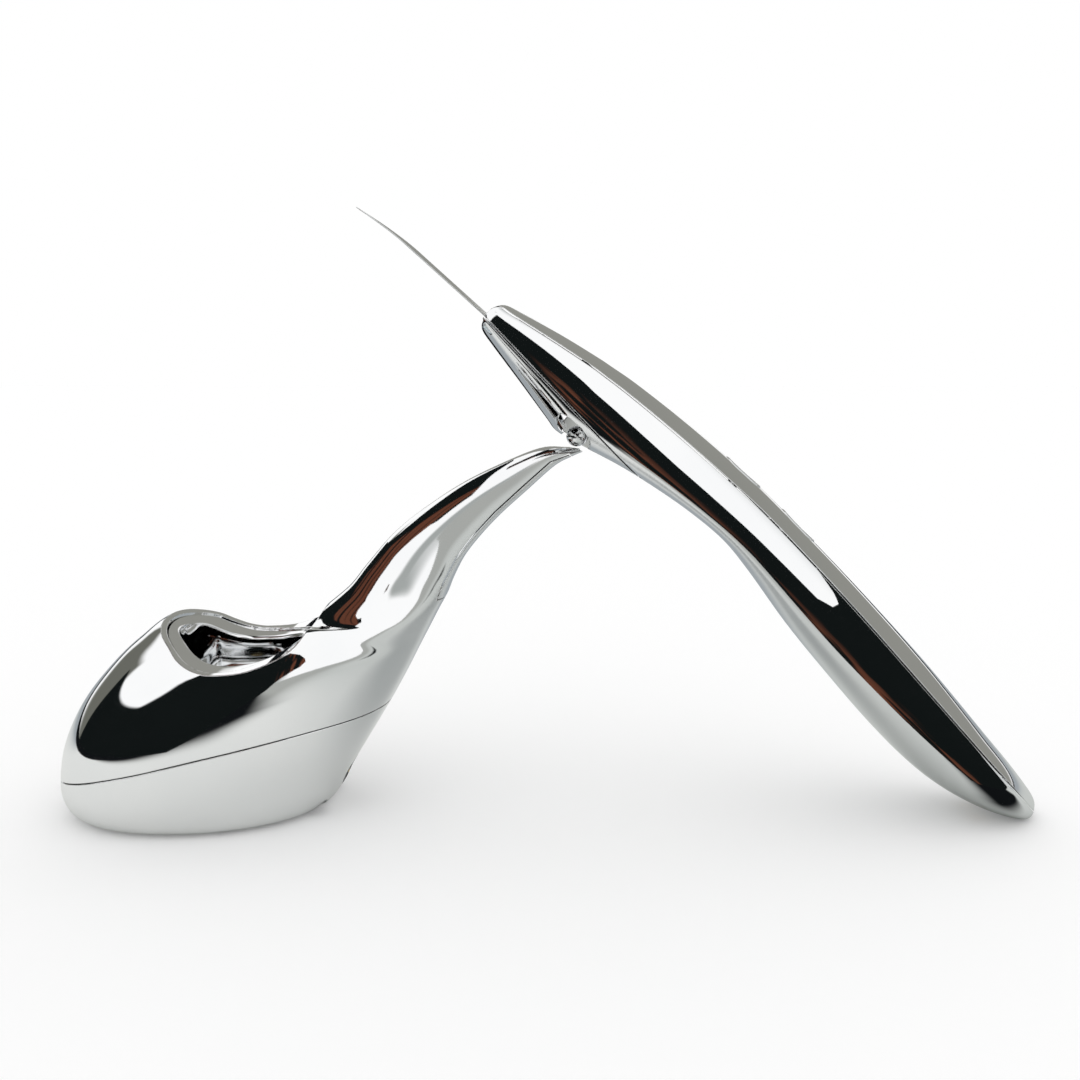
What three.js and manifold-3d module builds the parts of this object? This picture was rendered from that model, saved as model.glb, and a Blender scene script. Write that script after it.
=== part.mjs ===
// Ultrasonic skin scrubber: a chrome wand that leans on the swan neck of its chrome charging stand.
// Millimetres, +Z up. The origin is the middle of the stand's foot, on the table.
// +X runs from the stand towards the tail of the wand, and the whole object is symmetric about Y = 0.

import * as THREE from 'three';
import { mergeVertices } from 'three/addons/utils/BufferGeometryUtils.js';
import Module from 'manifold-3d';

const wasm = await Module();
wasm.setup();

// General clearances and counts
const fitGap = 0.3;
const seamGap = 0.3;
const overrun = 5;
const roundSteps = 12;
const fineSteps = 24;
const smallSteps = 8;

// Charging stand, outer form
const standLength = 130.8;
const standHeight = 88.6;
const standWidth = 54;
const standWall = 2;
const standLift = 0.3;
const noseSkewShare = 0.1;
const standSteps = 26;
const hollowReachShare = 4;
const hollowHalfShare = 2;

// Cup mouth, bore and liner
const mouthCentreX = 11;
const mouthNoseReach = 16;
const mouthNeckReach = 18.4;
const mouthHalfWidth = 21.4;
const mouthNeckPower = 0.75;
const linerDrop = 1.6;
const linerFlange = 1.8;
const linerWall = 1.5;
const cupCentreX = 12;
const cupLength = 30;
const cupWidth = 27;
const cupFloorHeight = 15;

// Foot pad, ballast and charging electronics in the base
const padThickness = 1.4;
const padLength = 40;
const padWidth = 26;
const ballastThickness = 3;
const ballastLength = 34;
const ballastWidth = 24;
const boardThickness = 1.6;
const chargeBoardLength = 30;
const chargeBoardWidth = 22;
const boardPostHeight = 1.2;
const boardPostRadius = 2.2;
const jackRadius = 3.6;
const jackBoreRadius = 2.75;
const jackPinRadius = 0.9;
const jackPinInset = 1.2;
const jackLength = 10;
const jackBoreDepth = 7.5;
const jackHeight = 8.4;
const jackX = 38.2;

// Sprung charging pins in the cup floor
const pinSpacing = 7;
const pinRadius = 1.2;
const pinRise = 1.4;
const pinTravel = 1;
const pinBarrelWall = 0.5;
const pinBarrelHeight = 2.8;

// Base screws and their columns
const screwShaftRadius = 1.3;
const screwHeadRadius = 2.2;
const screwHeadHeight = 1.5;
const screwSeatHeight = 4.3;
const screwBite = 6;
const columnRadius = 2.8;
const frontColumnX = -21;
const rearColumnX = 30.5;
const rearColumnY = 7.5;

// Neck cover on the back of the swan neck
const neckCoverDepth = 1.5;
const neckCoverDepthShare = 1 / 3;
const neckCoverRows = [11, 19];

// Wand, outer form; its own frame has x from head to tail and z square to the top face
const bodyLength = 176;
const bodyDepth = 20;
const bodyWidth = 32;
const bodyWall = 1.6;
const crownShare = 0.87;

// Wand resting ball and the notch that holds it
const ballRadius = 2.4;
const ballShare = 0.18977;
const ballX = ballShare * bodyLength;
const ballDrop = 7.5;
const ballStemRadius = 0.9;
const ballStemLength = 4.6;
const ballRestX = 93;
const restGap = 0.3;
const tailGap = 0.1;
const grooveWidth = 0.7;
const grooveDepth = 1;

// Blade and its ultrasonic transducer
const bladeReach = 36;
const bladeWidth = 20;
const bladeThickness = 0.5;
const bladeDrop = 0.7;
const bladeRoot = 12;
const bladeBend = 24;
const bladeTipDrop = 1.4;
const bladeCornerRadius = 3;
const bladeEdgeLength = 2.2;
const sealLength = 2.6;
const sealWidth = 2;
const sealRim = 1.2;
const seatGap = 0.1;
const hornStart = 6.5;
const hornWidth = 12;
const hornLength = 8;
const hornThickness = 2.9;
const hornNeckRadius = 2.6;
const hornNeckLength = 8;
const stackRadius = 4.6;
const stackRise = 2.2;
const flangeLength = 2.5;
const ringLength = 2.5;
const ringBoreRadius = 2;
const massLength = 8;
const boltRadius = 1.5;
const boltHeadRadius = 2.6;
const boltHeadLength = 2;
const clampThickness = 0.9;
const clampScrewSpacing = 7;
const clampScrewRadius = 0.8;
const clampScrewHeadRadius = 1.5;
const clampScrewHeadHeight = 0.7;

// Wand electronics
const mainBoardStartShare = 0.318;
const mainBoardStart = mainBoardStartShare * bodyLength;
const mainBoardLengthShare = 0.295;
const mainBoardLength = mainBoardLengthShare * bodyLength;
const mainBoardWidth = 18;
const mainBoardThickness = 1.2;
const mainBoardRise = 2.6;
const boardScrewInset = 4;
const boardScrewRadius = 0.9;
const boardScrewHeadRadius = 1.7;
const boardScrewHeadHeight = 1;
const boardScrewLength = 4;
const bossRadius = 2.4;
const switchSize = 6;
const switchHeight = 3.2;
const switchStemRadius = 1.4;
const buttonTravel = 0.5;
const powerButtonShare = 0.386;
const powerButtonX = powerButtonShare * bodyLength;
const modeButtonShare = 0.489;
const modeButtonX = modeButtonShare * bodyLength;
const buttonLength = 11;
const buttonWidth = 8;
const buttonProud = 0.25;
const buttonSkirt = 0.8;
const buttonFlangeThickness = 0.7;
const lightShare = 0.5455;
const lightX = lightShare * bodyLength;
const lightRadius = 0.9;
const lightFlangeRadius = 1.5;
const chipSize = 7;
const chipHeight = 1.2;
const coilRadius = 4;
const coilHeight = 4.4;
const coilCoreRadius = 1.6;
const cellStartShare = 0.648;
const cellStart = cellStartShare * bodyLength;
const cellLengthShare = 0.193;
const cellLength = cellLengthShare * bodyLength;
const cellWidth = 17;
const cellThickness = 5.6;
const cellDrop = 4.9;
const foamThickness = 1.2;
const cellRibThickness = 1.4;
const cellRibInset = 4;
const contactShare = 0.932;
const contactX = contactShare * bodyLength;
const contactSpacing = 7;
const contactRadius = 1.5;
const contactStemLength = 3;
const contactStemRadius = 0.7;
const lightPipeLength = 5;
const ledSize = 1.8;
const ledHeight = 0.8;
const chipShare = 0.4375;
const chipX = chipShare * bodyLength;
const coilShare = 0.523;
const coilX = coilShare * bodyLength;

// Stand sections, as shares: front x and z, back x and z of each ring, its half width and its two powers.
// x is a share of the stand's length, z of its height, and the half width of half the stand's width.
const standRowShares = [
  [-0.190, 0, 0.200, 0, 0.77, 2.2, 2.2],
  [-0.228, 0.012, 0.246, 0.012, 0.90, 2.2, 2.2],
  [-0.246, 0.045, 0.272, 0.055, 0.97, 2.2, 2.2],
  [-0.250, 0.098, 0.294, 0.118, 1.0, 2.2, 2.2],
  [-0.238, 0.196, 0.336, 0.222, 1.0, 2.2, 2.2],
  [-0.203, 0.304, 0.372, 0.312, 0.96, 2.2, 2.2],
  [-0.150, 0.402, 0.400, 0.388, 0.90, 2.2, 2.2],
  [-0.095, 0.478, 0.420, 0.446, 0.83, 2.2, 2.2],
  [-0.030, 0.540, 0.434, 0.486, 0.72, 2.1, 2.3],
  [0.090, 0.548, 0.446, 0.520, 0.60, 2.1, 2.6],
  [0.200, 0.528, 0.460, 0.560, 0.50, 2, 3],
  [0.283, 0.604, 0.474, 0.598, 0.42, 2, 3.5],
  [0.329, 0.682, 0.486, 0.642, 0.37, 2, 4],
  [0.375, 0.760, 0.508, 0.704, 0.32, 2, 4],
  [0.427, 0.825, 0.538, 0.762, 0.28, 2, 4],
  [0.500, 0.898, 0.576, 0.822, 0.24, 2, 4],
  [0.573, 0.953, 0.622, 0.884, 0.205, 2, 4],
  [0.645, 0.996, 0.672, 0.950, 0.17, 2, 3.5],
  [0.690, 0.999, 0.702, 0.974, 0.13, 2, 3],
  [0.716, 0.996, 0.721, 0.986, 0.075, 2, 2.4],
];

// Height of the cup's rim over x, and of the parting line between the stand's two shells
const rimShares = [
  [-0.130, 0.66], [-0.062, 0.555], [-0.034, 0.522], [0, 0.494], [0.023, 0.468], [0.046, 0.450],
  [0.069, 0.441], [0.092, 0.439], [0.138, 0.445], [0.183, 0.466], [0.222, 0.497], [0.244, 0.540],
  [0.262, 0.600], [0.300, 0.760],
];
const partingShares = [
  [-0.34, 0.010], [-0.277, 0.056], [-0.226, 0.106], [-0.132, 0.150], [-0.038, 0.187], [0.044, 0.218],
  [0.120, 0.243], [0.193, 0.265], [0.262, 0.283], [0.329, 0.296], [0.375, 0.306], [0.460, 0.325],
  [0.80, 0.36],
];

// Wand sections, as shares: x of the length; top, seam, widest line and bottom of the depth; half width
const wandRowShares = [
  [0, 0.12, 0.08, -0.035, -0.135, 0.69],
  [0.007, 0.20, 0.15, -0.045, -0.195, 0.75],
  [0.028, 0.255, 0.18, -0.06, -0.24, 0.775],
  [0.085, 0.375, 0.265, -0.085, -0.34, 0.825],
  [0.142, 0.47, 0.34, -0.11, -0.445, 0.865],
  [0.165, 0.50, 0.36, -0.12, -0.48, 0.88],
  [0.199, 0.54, 0.385, -0.125, -0.42, 0.895],
  [0.256, 0.58, 0.41, -0.10, -0.29, 0.92],
  [0.313, 0.605, 0.425, -0.055, -0.20, 0.925],
  [0.369, 0.615, 0.43, -0.025, -0.14, 0.925],
  [0.426, 0.61, 0.425, -0.02, -0.125, 0.92],
  [0.483, 0.585, 0.395, -0.06, -0.20, 0.925],
  [0.568, 0.54, 0.335, -0.14, -0.36, 0.955],
  [0.653, 0.48, 0.26, -0.19, -0.475, 0.985],
  [0.739, 0.405, 0.175, -0.215, -0.57, 1],
  [0.813, 0.32, 0.105, -0.22, -0.61, 0.98],
  [0.869, 0.25, 0.05, -0.215, -0.58, 0.925],
  [0.920, 0.19, 0.01, -0.20, -0.48, 0.805],
  [0.960, 0.13, -0.02, -0.165, -0.35, 0.625],
  [0.986, 0.075, -0.04, -0.13, -0.22, 0.41],
  [0.998, 0, -0.055, -0.09, -0.12, 0.14],
];
const headSeamShares = [[-0.04, -0.02], [0.285, -0.225], [0.30, -0.60], [-0.04, -0.60]];
const notchShares = [
  [0.172, -0.60], [0.1725, -0.385], [0.155, -0.33], [0.152, -0.27], [0.165, -0.235], [0.185, -0.235],
  [0.204, -0.275], [0.211, -0.345], [0.213, -0.60],
];
const grooveShares = [[0.071, -0.215], [0.152, -0.325]];

// Finishes
const finishes = {
  chrome: { color: 0xdfe2e3, roughness: 0.06, metalness: 1 },
  satinSteel: { color: 0xc3c6c8, roughness: 0.3, metalness: 1 },
  darkSteel: { color: 0x6c7074, roughness: 0.5, metalness: 1 },
  brass: { color: 0xc9a25a, roughness: 0.25, metalness: 1 },
  silicone: { color: 0xd4d6d6, roughness: 0.7, metalness: 0 },
  rubber: { color: 0x1d1e20, roughness: 0.85, metalness: 0 },
  ceramic: { color: 0xe8e2d2, roughness: 0.5, metalness: 0 },
  board: { color: 0x1f5a38, roughness: 0.55, metalness: 0.1 },
  blackPlastic: { color: 0x1a1b1d, roughness: 0.5, metalness: 0 },
  clear: { color: 0xe9f3ff, roughness: 0.15, metalness: 0 },
  foil: { color: 0xb4b8bd, roughness: 0.4, metalness: 0.6 },
  foam: { color: 0x3b3d40, roughness: 0.95, metalness: 0 },
  copper: { color: 0xb56b3c, roughness: 0.35, metalness: 1 },
};

// Solid helpers

function welded(geometry) {
  const bare = geometry.clone();
  bare.deleteAttribute('normal');
  bare.deleteAttribute('uv');
  const merged = mergeVertices(bare);
  const corners = merged.index.array;
  const kept = [];
  for (let i = 0; i < corners.length; i += 3) {
    const [a, b, c] = [corners[i], corners[i + 1], corners[i + 2]];
    if (a !== b && b !== c && c !== a) kept.push(a, b, c);
  }
  merged.setIndex(kept);
  return merged;
}

function toSolid(geometry) {
  const merged = welded(geometry);
  const mesh = new wasm.Mesh({
    numProp: 3,
    vertProperties: new Float32Array(merged.attributes.position.array),
    triVerts: new Uint32Array(merged.index.array),
  });
  return new wasm.Manifold(mesh);
}

function toGeometry(body) {
  const mesh = body.getMesh();
  const geometry = new THREE.BufferGeometry();
  geometry.setAttribute('position', new THREE.BufferAttribute(new Float32Array(mesh.vertProperties), 3));
  geometry.setIndex(new THREE.BufferAttribute(new Uint32Array(mesh.triVerts), 1));
  return geometry;
}

function joined(...bodies) {
  return bodies.reduce((sum, body) => sum.add(body));
}

// A closed skin through rings of points, with a fan over each end
function loft(rings) {
  const count = rings[0].length;
  const places = rings.flat();
  for (const ring of [rings[0], rings[rings.length - 1]]) {
    const middle = new THREE.Vector3();
    for (const point of ring) middle.add(point);
    places.push(middle.divideScalar(count));
  }
  const faces = [];
  const start = rings.length * count;
  const lastRing = (rings.length - 1) * count;
  for (let i = 0; i < count; i++) {
    const next = (i + 1) % count;
    for (let r = 0; r + 1 < rings.length; r++) {
      const low = r * count;
      const high = low + count;
      faces.push(low + i, low + next, high + next, low + i, high + next, high + i);
    }
    faces.push(start, next, i, start + 1, lastRing + i, lastRing + next);
  }
  const geometry = new THREE.BufferGeometry().setFromPoints(places);
  geometry.setIndex(faces);
  if (signedVolume(geometry) < 0) {
    for (let i = 0; i < faces.length; i += 3) [faces[i], faces[i + 1]] = [faces[i + 1], faces[i]];
    geometry.setIndex(faces);
  }
  return geometry;
}

function signedVolume(geometry) {
  const place = geometry.attributes.position;
  const corners = geometry.index.array;
  const [a, b, c] = [new THREE.Vector3(), new THREE.Vector3(), new THREE.Vector3()];
  let sum = 0;
  for (let i = 0; i < corners.length; i += 3) {
    a.fromBufferAttribute(place, corners[i]);
    b.fromBufferAttribute(place, corners[i + 1]);
    c.fromBufferAttribute(place, corners[i + 2]);
    sum += a.dot(b.cross(c));
  }
  return sum / 6;
}

// Rows of numbers with smooth rows put between them
function smoothRows(rows, cuts) {
  const result = [];
  for (let i = 0; i + 1 < rows.length; i++) {
    const before = rows[Math.max(i - 1, 0)];
    const after = rows[Math.min(i + 2, rows.length - 1)];
    for (let k = 0; k < cuts; k++) {
      const to = rows[i + 1];
      result.push(rows[i].map((from, c) => curveBetween(before[c], from, to[c], after[c], k / cuts)));
    }
  }
  result.push(rows[rows.length - 1]);
  return result;
}

function curveBetween(before, from, to, after, share) {
  const startSlope = (to - before) / 2;
  const endSlope = (after - from) / 2;
  const square = share * share;
  const cube = square * share;
  const fromPart = from * (2 * cube - 3 * square + 1) + to * (3 * square - 2 * cube);
  return fromPart + startSlope * (cube - 2 * square + share) + endSlope * (cube - square);
}

// Straight-line reading of a table of rows at one value of its first column
function readRow(rows, value) {
  const last = rows.length - 1;
  let i = 0;
  while (i < last - 1 && rows[i + 1][0] < value) i++;
  const share = THREE.MathUtils.clamp((value - rows[i][0]) / (rows[i + 1][0] - rows[i][0]), 0, 1);
  return rows[i].map((from, c) => from + (rows[i + 1][c] - from) * share);
}

// A slab whose outline is drawn in the x-z plane, as wide as asked along y
function sideSlab(points, halfWidth) {
  const shape = new THREE.Shape(points.map(([x, z]) => new THREE.Vector2(x, z)));
  const geometry = new THREE.ExtrudeGeometry(shape, { depth: 2 * halfWidth, bevelEnabled: false });
  geometry.rotateX(Math.PI / 2);
  geometry.translate(0, halfWidth, 0);
  return geometry;
}

// A slab whose outline is drawn in plan, between two heights
function planSlab(points, low, high) {
  const shape = new THREE.Shape(points.map(([x, y]) => new THREE.Vector2(x, y)));
  const geometry = new THREE.ExtrudeGeometry(shape, { depth: high - low, bevelEnabled: false });
  geometry.translate(0, 0, low);
  return geometry;
}

function roundedPlan(length, width, corner, middleX) {
  const points = [];
  const steps = roundSteps / 4;
  for (const [cx, cy, turn] of [[1, 1, 0], [-1, 1, 1], [-1, -1, 2], [1, -1, 3]]) {
    for (let k = 0; k <= steps; k++) {
      const angle = (turn + k / steps) * Math.PI / 2;
      const x = middleX + cx * (length / 2 - corner) + corner * Math.cos(angle);
      points.push([x, cy * (width / 2 - corner) + corner * Math.sin(angle)]);
    }
  }
  return points;
}

function ovalPlan(length, width, middleX, steps) {
  const points = [];
  for (let k = 0; k < steps; k++) {
    const angle = k / steps * 2 * Math.PI;
    points.push([middleX + length / 2 * Math.cos(angle), width / 2 * Math.sin(angle)]);
  }
  return points;
}

function upright(radius, low, high, x, y, steps = roundSteps) {
  const geometry = new THREE.CylinderGeometry(radius, radius, high - low, steps);
  geometry.rotateX(Math.PI / 2);
  geometry.translate(x, y, (low + high) / 2);
  return geometry;
}

function lengthwise(radius, start, end, z, steps = roundSteps) {
  const geometry = new THREE.CylinderGeometry(radius, radius, end - start, steps);
  geometry.rotateZ(Math.PI / 2);
  geometry.translate((start + end) / 2, 0, z);
  return geometry;
}

function block(length, width, height, x, y, low) {
  const geometry = new THREE.BoxGeometry(length, width, height);
  geometry.translate(x, y, low + height / 2);
  return geometry;
}

// A turned piece whose profile of [radius, height] pairs stands on the z axis
function turned(profile, x, y, base, steps = roundSteps) {
  const geometry = new THREE.LatheGeometry(profile.map(([r, z]) => new THREE.Vector2(r, z)), steps);
  geometry.rotateX(Math.PI / 2);
  geometry.translate(x, y, base);
  return geometry;
}

function piece(name, body, finish) {
  const geometry = body.isBufferGeometry ? welded(body) : toGeometry(body);
  const mesh = new THREE.Mesh(geometry, new THREE.MeshStandardMaterial(finishes[finish]));
  mesh.name = name;
  return mesh;
}

// Stand: outer and inner skins

const halfStand = standWidth / 2;

function standRows(cuts) {
  return smoothRows(standRowShares, cuts).map(([fx, fz, bx, bz, half, front, back]) => ({
    front: new THREE.Vector2(fx * standLength, standLift + fz * (standHeight - standLift)),
    back: new THREE.Vector2(bx * standLength, standLift + bz * (standHeight - standLift)),
    half: half * halfStand,
    frontPower: front,
    backPower: back,
  }));
}

function standRing(row, inset, steps) {
  const middle = row.front.clone().add(row.back).divideScalar(2);
  const reach = row.back.clone().sub(middle);
  const length = reach.length();
  reach.normalize();
  const points = [];
  for (let k = 0; k < steps; k++) {
    const angle = k / steps * 2 * Math.PI;
    const along = Math.cos(angle);
    const across = Math.sin(angle);
    const power = along > 0 ? row.backPower : row.frontPower;
    const u = Math.sign(along) * Math.abs(along) ** (2 / power);
    const v = Math.sign(across) * Math.abs(across) ** (2 / power);
    const x = middle.x + reach.x * u * (length - inset);
    const z = middle.y + reach.y * u * (length - inset);
    points.push(new THREE.Vector3(x, v * (row.half - inset) * (1 - noseSkewShare * u), z));
  }
  return points;
}

const standOuter = toSolid(loft(standRows(2).map((row) => standRing(row, 0, standSteps))));

function standInnerSkin() {
  const rows = standRows(1).filter((row) => row.front.distanceTo(row.back) > hollowReachShare * standWall);
  const kept = rows.filter((row) => row.half > hollowHalfShare * standWall && row.front.y > standWall);
  return toSolid(loft(kept.map((row) => standRing(row, standWall, roundSteps))));
}

const standShell = standOuter.subtract(standInnerSkin());

function tableInStand(shares) {
  return shares.map(([x, z]) => [x * standLength, z * standHeight]);
}

// The space above a line that runs over x, as wide as the stand
function aboveLine(line, lift) {
  const top = standHeight + overrun;
  const points = line.map(([x, z]) => [x, z + lift]);
  const outline = [...points, [points[points.length - 1][0], top], [points[0][0], top]];
  return toSolid(sideSlab(outline, halfStand + overrun));
}

function belowLine(line, lift) {
  const points = line.map(([x, z]) => [x, z + lift]);
  const outline = [...points, [points[points.length - 1][0], -overrun], [points[0][0], -overrun]];
  return toSolid(sideSlab(outline, halfStand + overrun));
}

// A copy of a line that runs towards +X, moved square to itself, down and to the right
function movedLine(line, distance) {
  return line.map(([x, z], i) => {
    const [x0, z0] = line[Math.max(i - 1, 0)];
    const [x1, z1] = line[Math.min(i + 1, line.length - 1)];
    const length = Math.hypot(x1 - x0, z1 - z0);
    return [x + (z1 - z0) / length * distance, z - (x1 - x0) / length * distance];
  });
}

const rimLine = smoothRows(tableInStand(rimShares), 2);
const partingLine = smoothRows(tableInStand(partingShares), 2);

// The mouth in plan: an ellipse on the nose side that draws in to a soft point at the neck
function mouthPlan(inset) {
  const points = [];
  for (let k = 0; k < fineSteps; k++) {
    const angle = k / fineSteps * 2 * Math.PI;
    const share = Math.cos(angle);
    const reach = share > 0 ? mouthNeckReach : mouthNoseReach;
    const power = share > 0 ? 2 * mouthNeckPower : 1;
    const y = Math.sign(Math.sin(angle)) * Math.abs(Math.sin(angle)) ** power * (mouthHalfWidth - inset);
    points.push([mouthCentreX + share * (reach - inset), y]);
  }
  return points;
}

function columnPlaces() {
  return [[frontColumnX, 0], [rearColumnX, rearColumnY], [rearColumnX, -rearColumnY]];
}

function partingHeight(x) {
  return readRow(partingLine, x)[1];
}

const baseFloor = standLift + padThickness + standWall;

// The back of the neck, as a slab that follows the back line of the stand
function neckCoverSlab(grow) {
  const rows = standRows(1).slice(...neckCoverRows);
  const outside = [];
  const inside = [];
  rows.forEach((row, i) => {
    const inward = row.front.clone().sub(row.back).normalize();
    const end = i === 0 ? -grow : i === rows.length - 1 ? grow : 0;
    const slide = new THREE.Vector2(-inward.y, inward.x).multiplyScalar(-end);
    const depth = Math.min(neckCoverDepth, row.front.distanceTo(row.back) * neckCoverDepthShare) + grow;
    const near = row.back.clone().addScaledVector(inward, depth).add(slide);
    const far = row.back.clone().addScaledVector(inward, -overrun).add(slide);
    inside.push([near.x, near.y]);
    outside.unshift([far.x, far.y]);
  });
  return toSolid(sideSlab([...inside, ...outside], halfStand));
}

function makeStandShell() {
  let body = standShell.intersect(aboveLine(partingLine, seamGap / 2));
  const bore = toSolid(planSlab(mouthPlan(0), -overrun, standHeight + overrun));
  const ledge = toSolid(planSlab(mouthPlan(-standWall), -overrun, standHeight)).intersect(standOuter);
  const underDeck = belowLine(movedLine(rimLine, standWall), 0);
  const deck = standOuter.intersect(belowLine(rimLine, 0)).subtract(underDeck);
  body = joined(body, ledge.intersect(aboveLine(partingLine, seamGap / 2)), deck);
  for (const [x, y] of columnPlaces()) {
    const column = toSolid(upright(columnRadius, partingHeight(x) + fitGap, standHeight, x, y));
    body = body.add(column.intersect(standOuter).intersect(aboveLine(partingLine, seamGap / 2)));
  }
  body = body.subtract(aboveLine(rimLine, 0).intersect(mouthRegion())).subtract(bore);
  body = body.subtract(neckCoverSlab(seamGap / 2));
  for (const [x, y] of columnPlaces()) {
    const top = partingHeight(x) + screwBite + fitGap;
    body = body.subtract(toSolid(upright(screwShaftRadius + fitGap, -overrun, top, x, y)));
  }
  return piece('stand_shell', body, 'chrome');
}

// Only the mouth side of the neck is cut by the rim line
function mouthRegion() {
  const left = -standLength;
  const right = rimLine[rimLine.length - 1][0];
  const high = 2 * standHeight;
  return toSolid(sideSlab([[left, 0], [right, 0], [right, high], [left, high]], standWidth));
}

function makeNeckCover() {
  return piece('neck_cover', standOuter.intersect(neckCoverSlab(-seamGap / 2)), 'chrome');
}

function makeBaseShell() {
  let body = standShell.intersect(belowLine(partingLine, -seamGap / 2));
  const floor = toSolid(planSlab(ovalPlan(2 * standLength, 2 * standWidth, 0, fineSteps), 0, baseFloor));
  const tray = planSlab(ballastPlan(fitGap), baseFloor, ballastLow + ballastThickness + fitGap);
  body = body.add(floor.intersect(standOuter)).subtract(toSolid(tray));
  for (const [x, y] of columnPlaces()) {
    const post = toSolid(upright(columnRadius, standLift, partingHeight(x) - fitGap, x, y));
    body = body.add(post.intersect(standOuter).intersect(belowLine(partingLine, -seamGap / 2)));
  }
  for (const [x, y] of boardPosts()) {
    const top = baseFloor + fitGap + ballastThickness + boardPostHeight;
    body = body.add(toSolid(upright(boardPostRadius, standLift, top, x, y)));
  }
  const recess = ovalPlan(padLength + 2 * fitGap, padWidth + 2 * fitGap, 0, fineSteps);
  body = body.subtract(toSolid(planSlab(recess, 0, padThickness + fitGap)));
  for (const [x, y] of columnPlaces()) {
    const headTop = screwSeatHeight + screwHeadHeight;
    body = body.subtract(toSolid(upright(screwHeadRadius + fitGap, -overrun, headTop + fitGap, x, y)));
    body = body.subtract(toSolid(upright(screwShaftRadius + fitGap, 0, standHeight, x, y)));
  }
  body = body.subtract(toSolid(jackSolid(jackRadius + fitGap, jackLength + fitGap, overrun)));
  return piece('base_shell', body, 'chrome');
}

function makeBaseScrews() {
  return columnPlaces().map(([x, y], i) => {
    const under = screwSeatHeight;
    const end = partingHeight(x) + screwBite - under;
    const profile = [[0, 0], [screwHeadRadius, 0], [screwHeadRadius, screwHeadHeight],
      [screwShaftRadius, screwHeadHeight], [screwShaftRadius, end], [0, end]];
    return piece(`base_screw_${i + 1}`, turned(profile, x, y, under), 'darkSteel');
  });
}

function makeFootPad() {
  const plan = ovalPlan(padLength, padWidth, 0, fineSteps);
  return piece('foot_pad', planSlab(plan, 0, padThickness), 'rubber');
}

// Height of the ledge of the liner, under the rim
function ledgeLine(drop) {
  return rimLine.map(([x, z]) => [x, z - drop]);
}

function makeCupLiner() {
  const egg = toSolid(planSlab(mouthPlan(fitGap), 0, standHeight));
  const underLedge = belowLine(ledgeLine(linerDrop + linerFlange), 0);
  const ledge = egg.intersect(belowLine(ledgeLine(linerDrop), 0)).subtract(underLedge);
  const tubeLow = cupFloorHeight - linerWall;
  const tubePlan = ovalPlan(cupLength + 2 * linerWall, cupWidth + 2 * linerWall, cupCentreX, fineSteps);
  const solidTube = toSolid(planSlab(tubePlan, tubeLow, standHeight));
  const tube = solidTube.intersect(belowLine(ledgeLine(linerDrop), 0));
  const holePlan = ovalPlan(cupLength, cupWidth, cupCentreX, fineSteps);
  const hole = toSolid(planSlab(holePlan, cupFloorHeight, standHeight));
  let body = ledge.add(tube).subtract(hole);
  for (const y of pinPlaces()) {
    body = body.subtract(toSolid(upright(pinRadius + fitGap, 0, cupFloorHeight + overrun, cupCentreX, y)));
  }
  return piece('cup_liner', body, 'chrome');
}

function pinPlaces() {
  return [-pinSpacing / 2, pinSpacing / 2];
}

const ballastLow = baseFloor + fitGap;
const chargeBoardLow = baseFloor + fitGap + ballastThickness + boardPostHeight + fitGap;

function boardPosts() {
  const x = chargeBoardLength / 2 - boardPostRadius - fitGap;
  const y = chargeBoardWidth / 2 - boardPostRadius - fitGap;
  return [[x, y], [x, -y], [-x, y], [-x, -y]];
}

function ballastPlan(grow) {
  return roundedPlan(ballastLength + 2 * grow, ballastWidth + 2 * grow, columnRadius + grow, 0);
}

function makeBallast() {
  let body = toSolid(planSlab(ballastPlan(0), ballastLow, ballastLow + ballastThickness));
  for (const [x, y] of boardPosts()) {
    body = body.subtract(toSolid(upright(boardPostRadius + fitGap, 0, standHeight, x, y)));
  }
  return piece('ballast_plate', body, 'darkSteel');
}

function makeChargeBoard() {
  const plan = roundedPlan(chargeBoardLength, chargeBoardWidth, boardThickness, 0);
  return piece('charge_board', planSlab(plan, chargeBoardLow, chargeBoardLow + boardThickness), 'board');
}

// Jack barrel, lying along x with its mouth in the back wall
function jackSolid(radius, length, beyond) {
  return lengthwise(radius, jackX - length, jackX + beyond, jackHeight, roundSteps);
}

function makeJack() {
  const barrel = toSolid(jackSolid(jackRadius, jackLength, overrun)).intersect(standOuter);
  const bore = toSolid(jackSolid(jackBoreRadius, jackBoreDepth, overrun));
  return piece('power_jack', barrel.subtract(bore), 'blackPlastic');
}

function makeJackPin() {
  const start = jackX - jackBoreDepth + seatGap;
  const pin = lengthwise(jackPinRadius, start, jackX - jackPinInset, jackHeight, smallSteps);
  return piece('jack_pin', pin, 'brass');
}

const chargeBoardTop = chargeBoardLow + boardThickness;

function makePinBarrels() {
  const outer = pinRadius + fitGap + pinBarrelWall;
  const inner = pinRadius + fitGap;
  const profile = [[inner, 0], [outer, 0], [outer, pinBarrelHeight], [inner, pinBarrelHeight], [inner, 0]];
  return pinPlaces().map((y, i) =>
    piece(`pin_barrel_${i + 1}`, turned(profile, cupCentreX, y, chargeBoardTop), 'brass'));
}

function makePins() {
  const base = chargeBoardTop + fitGap + pinTravel;
  const top = cupFloorHeight + pinRise - base;
  const edge = pinRadius / 2;
  const profile = [[0, 0], [pinRadius, 0], [pinRadius, top - edge], [edge, top], [0, top]];
  return pinPlaces().map((y, i) =>
    piece(`charge_pin_${i + 1}`, turned(profile, cupCentreX, y, base), 'brass'));
}

// Wand: outer and inner skins, in its own frame

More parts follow.
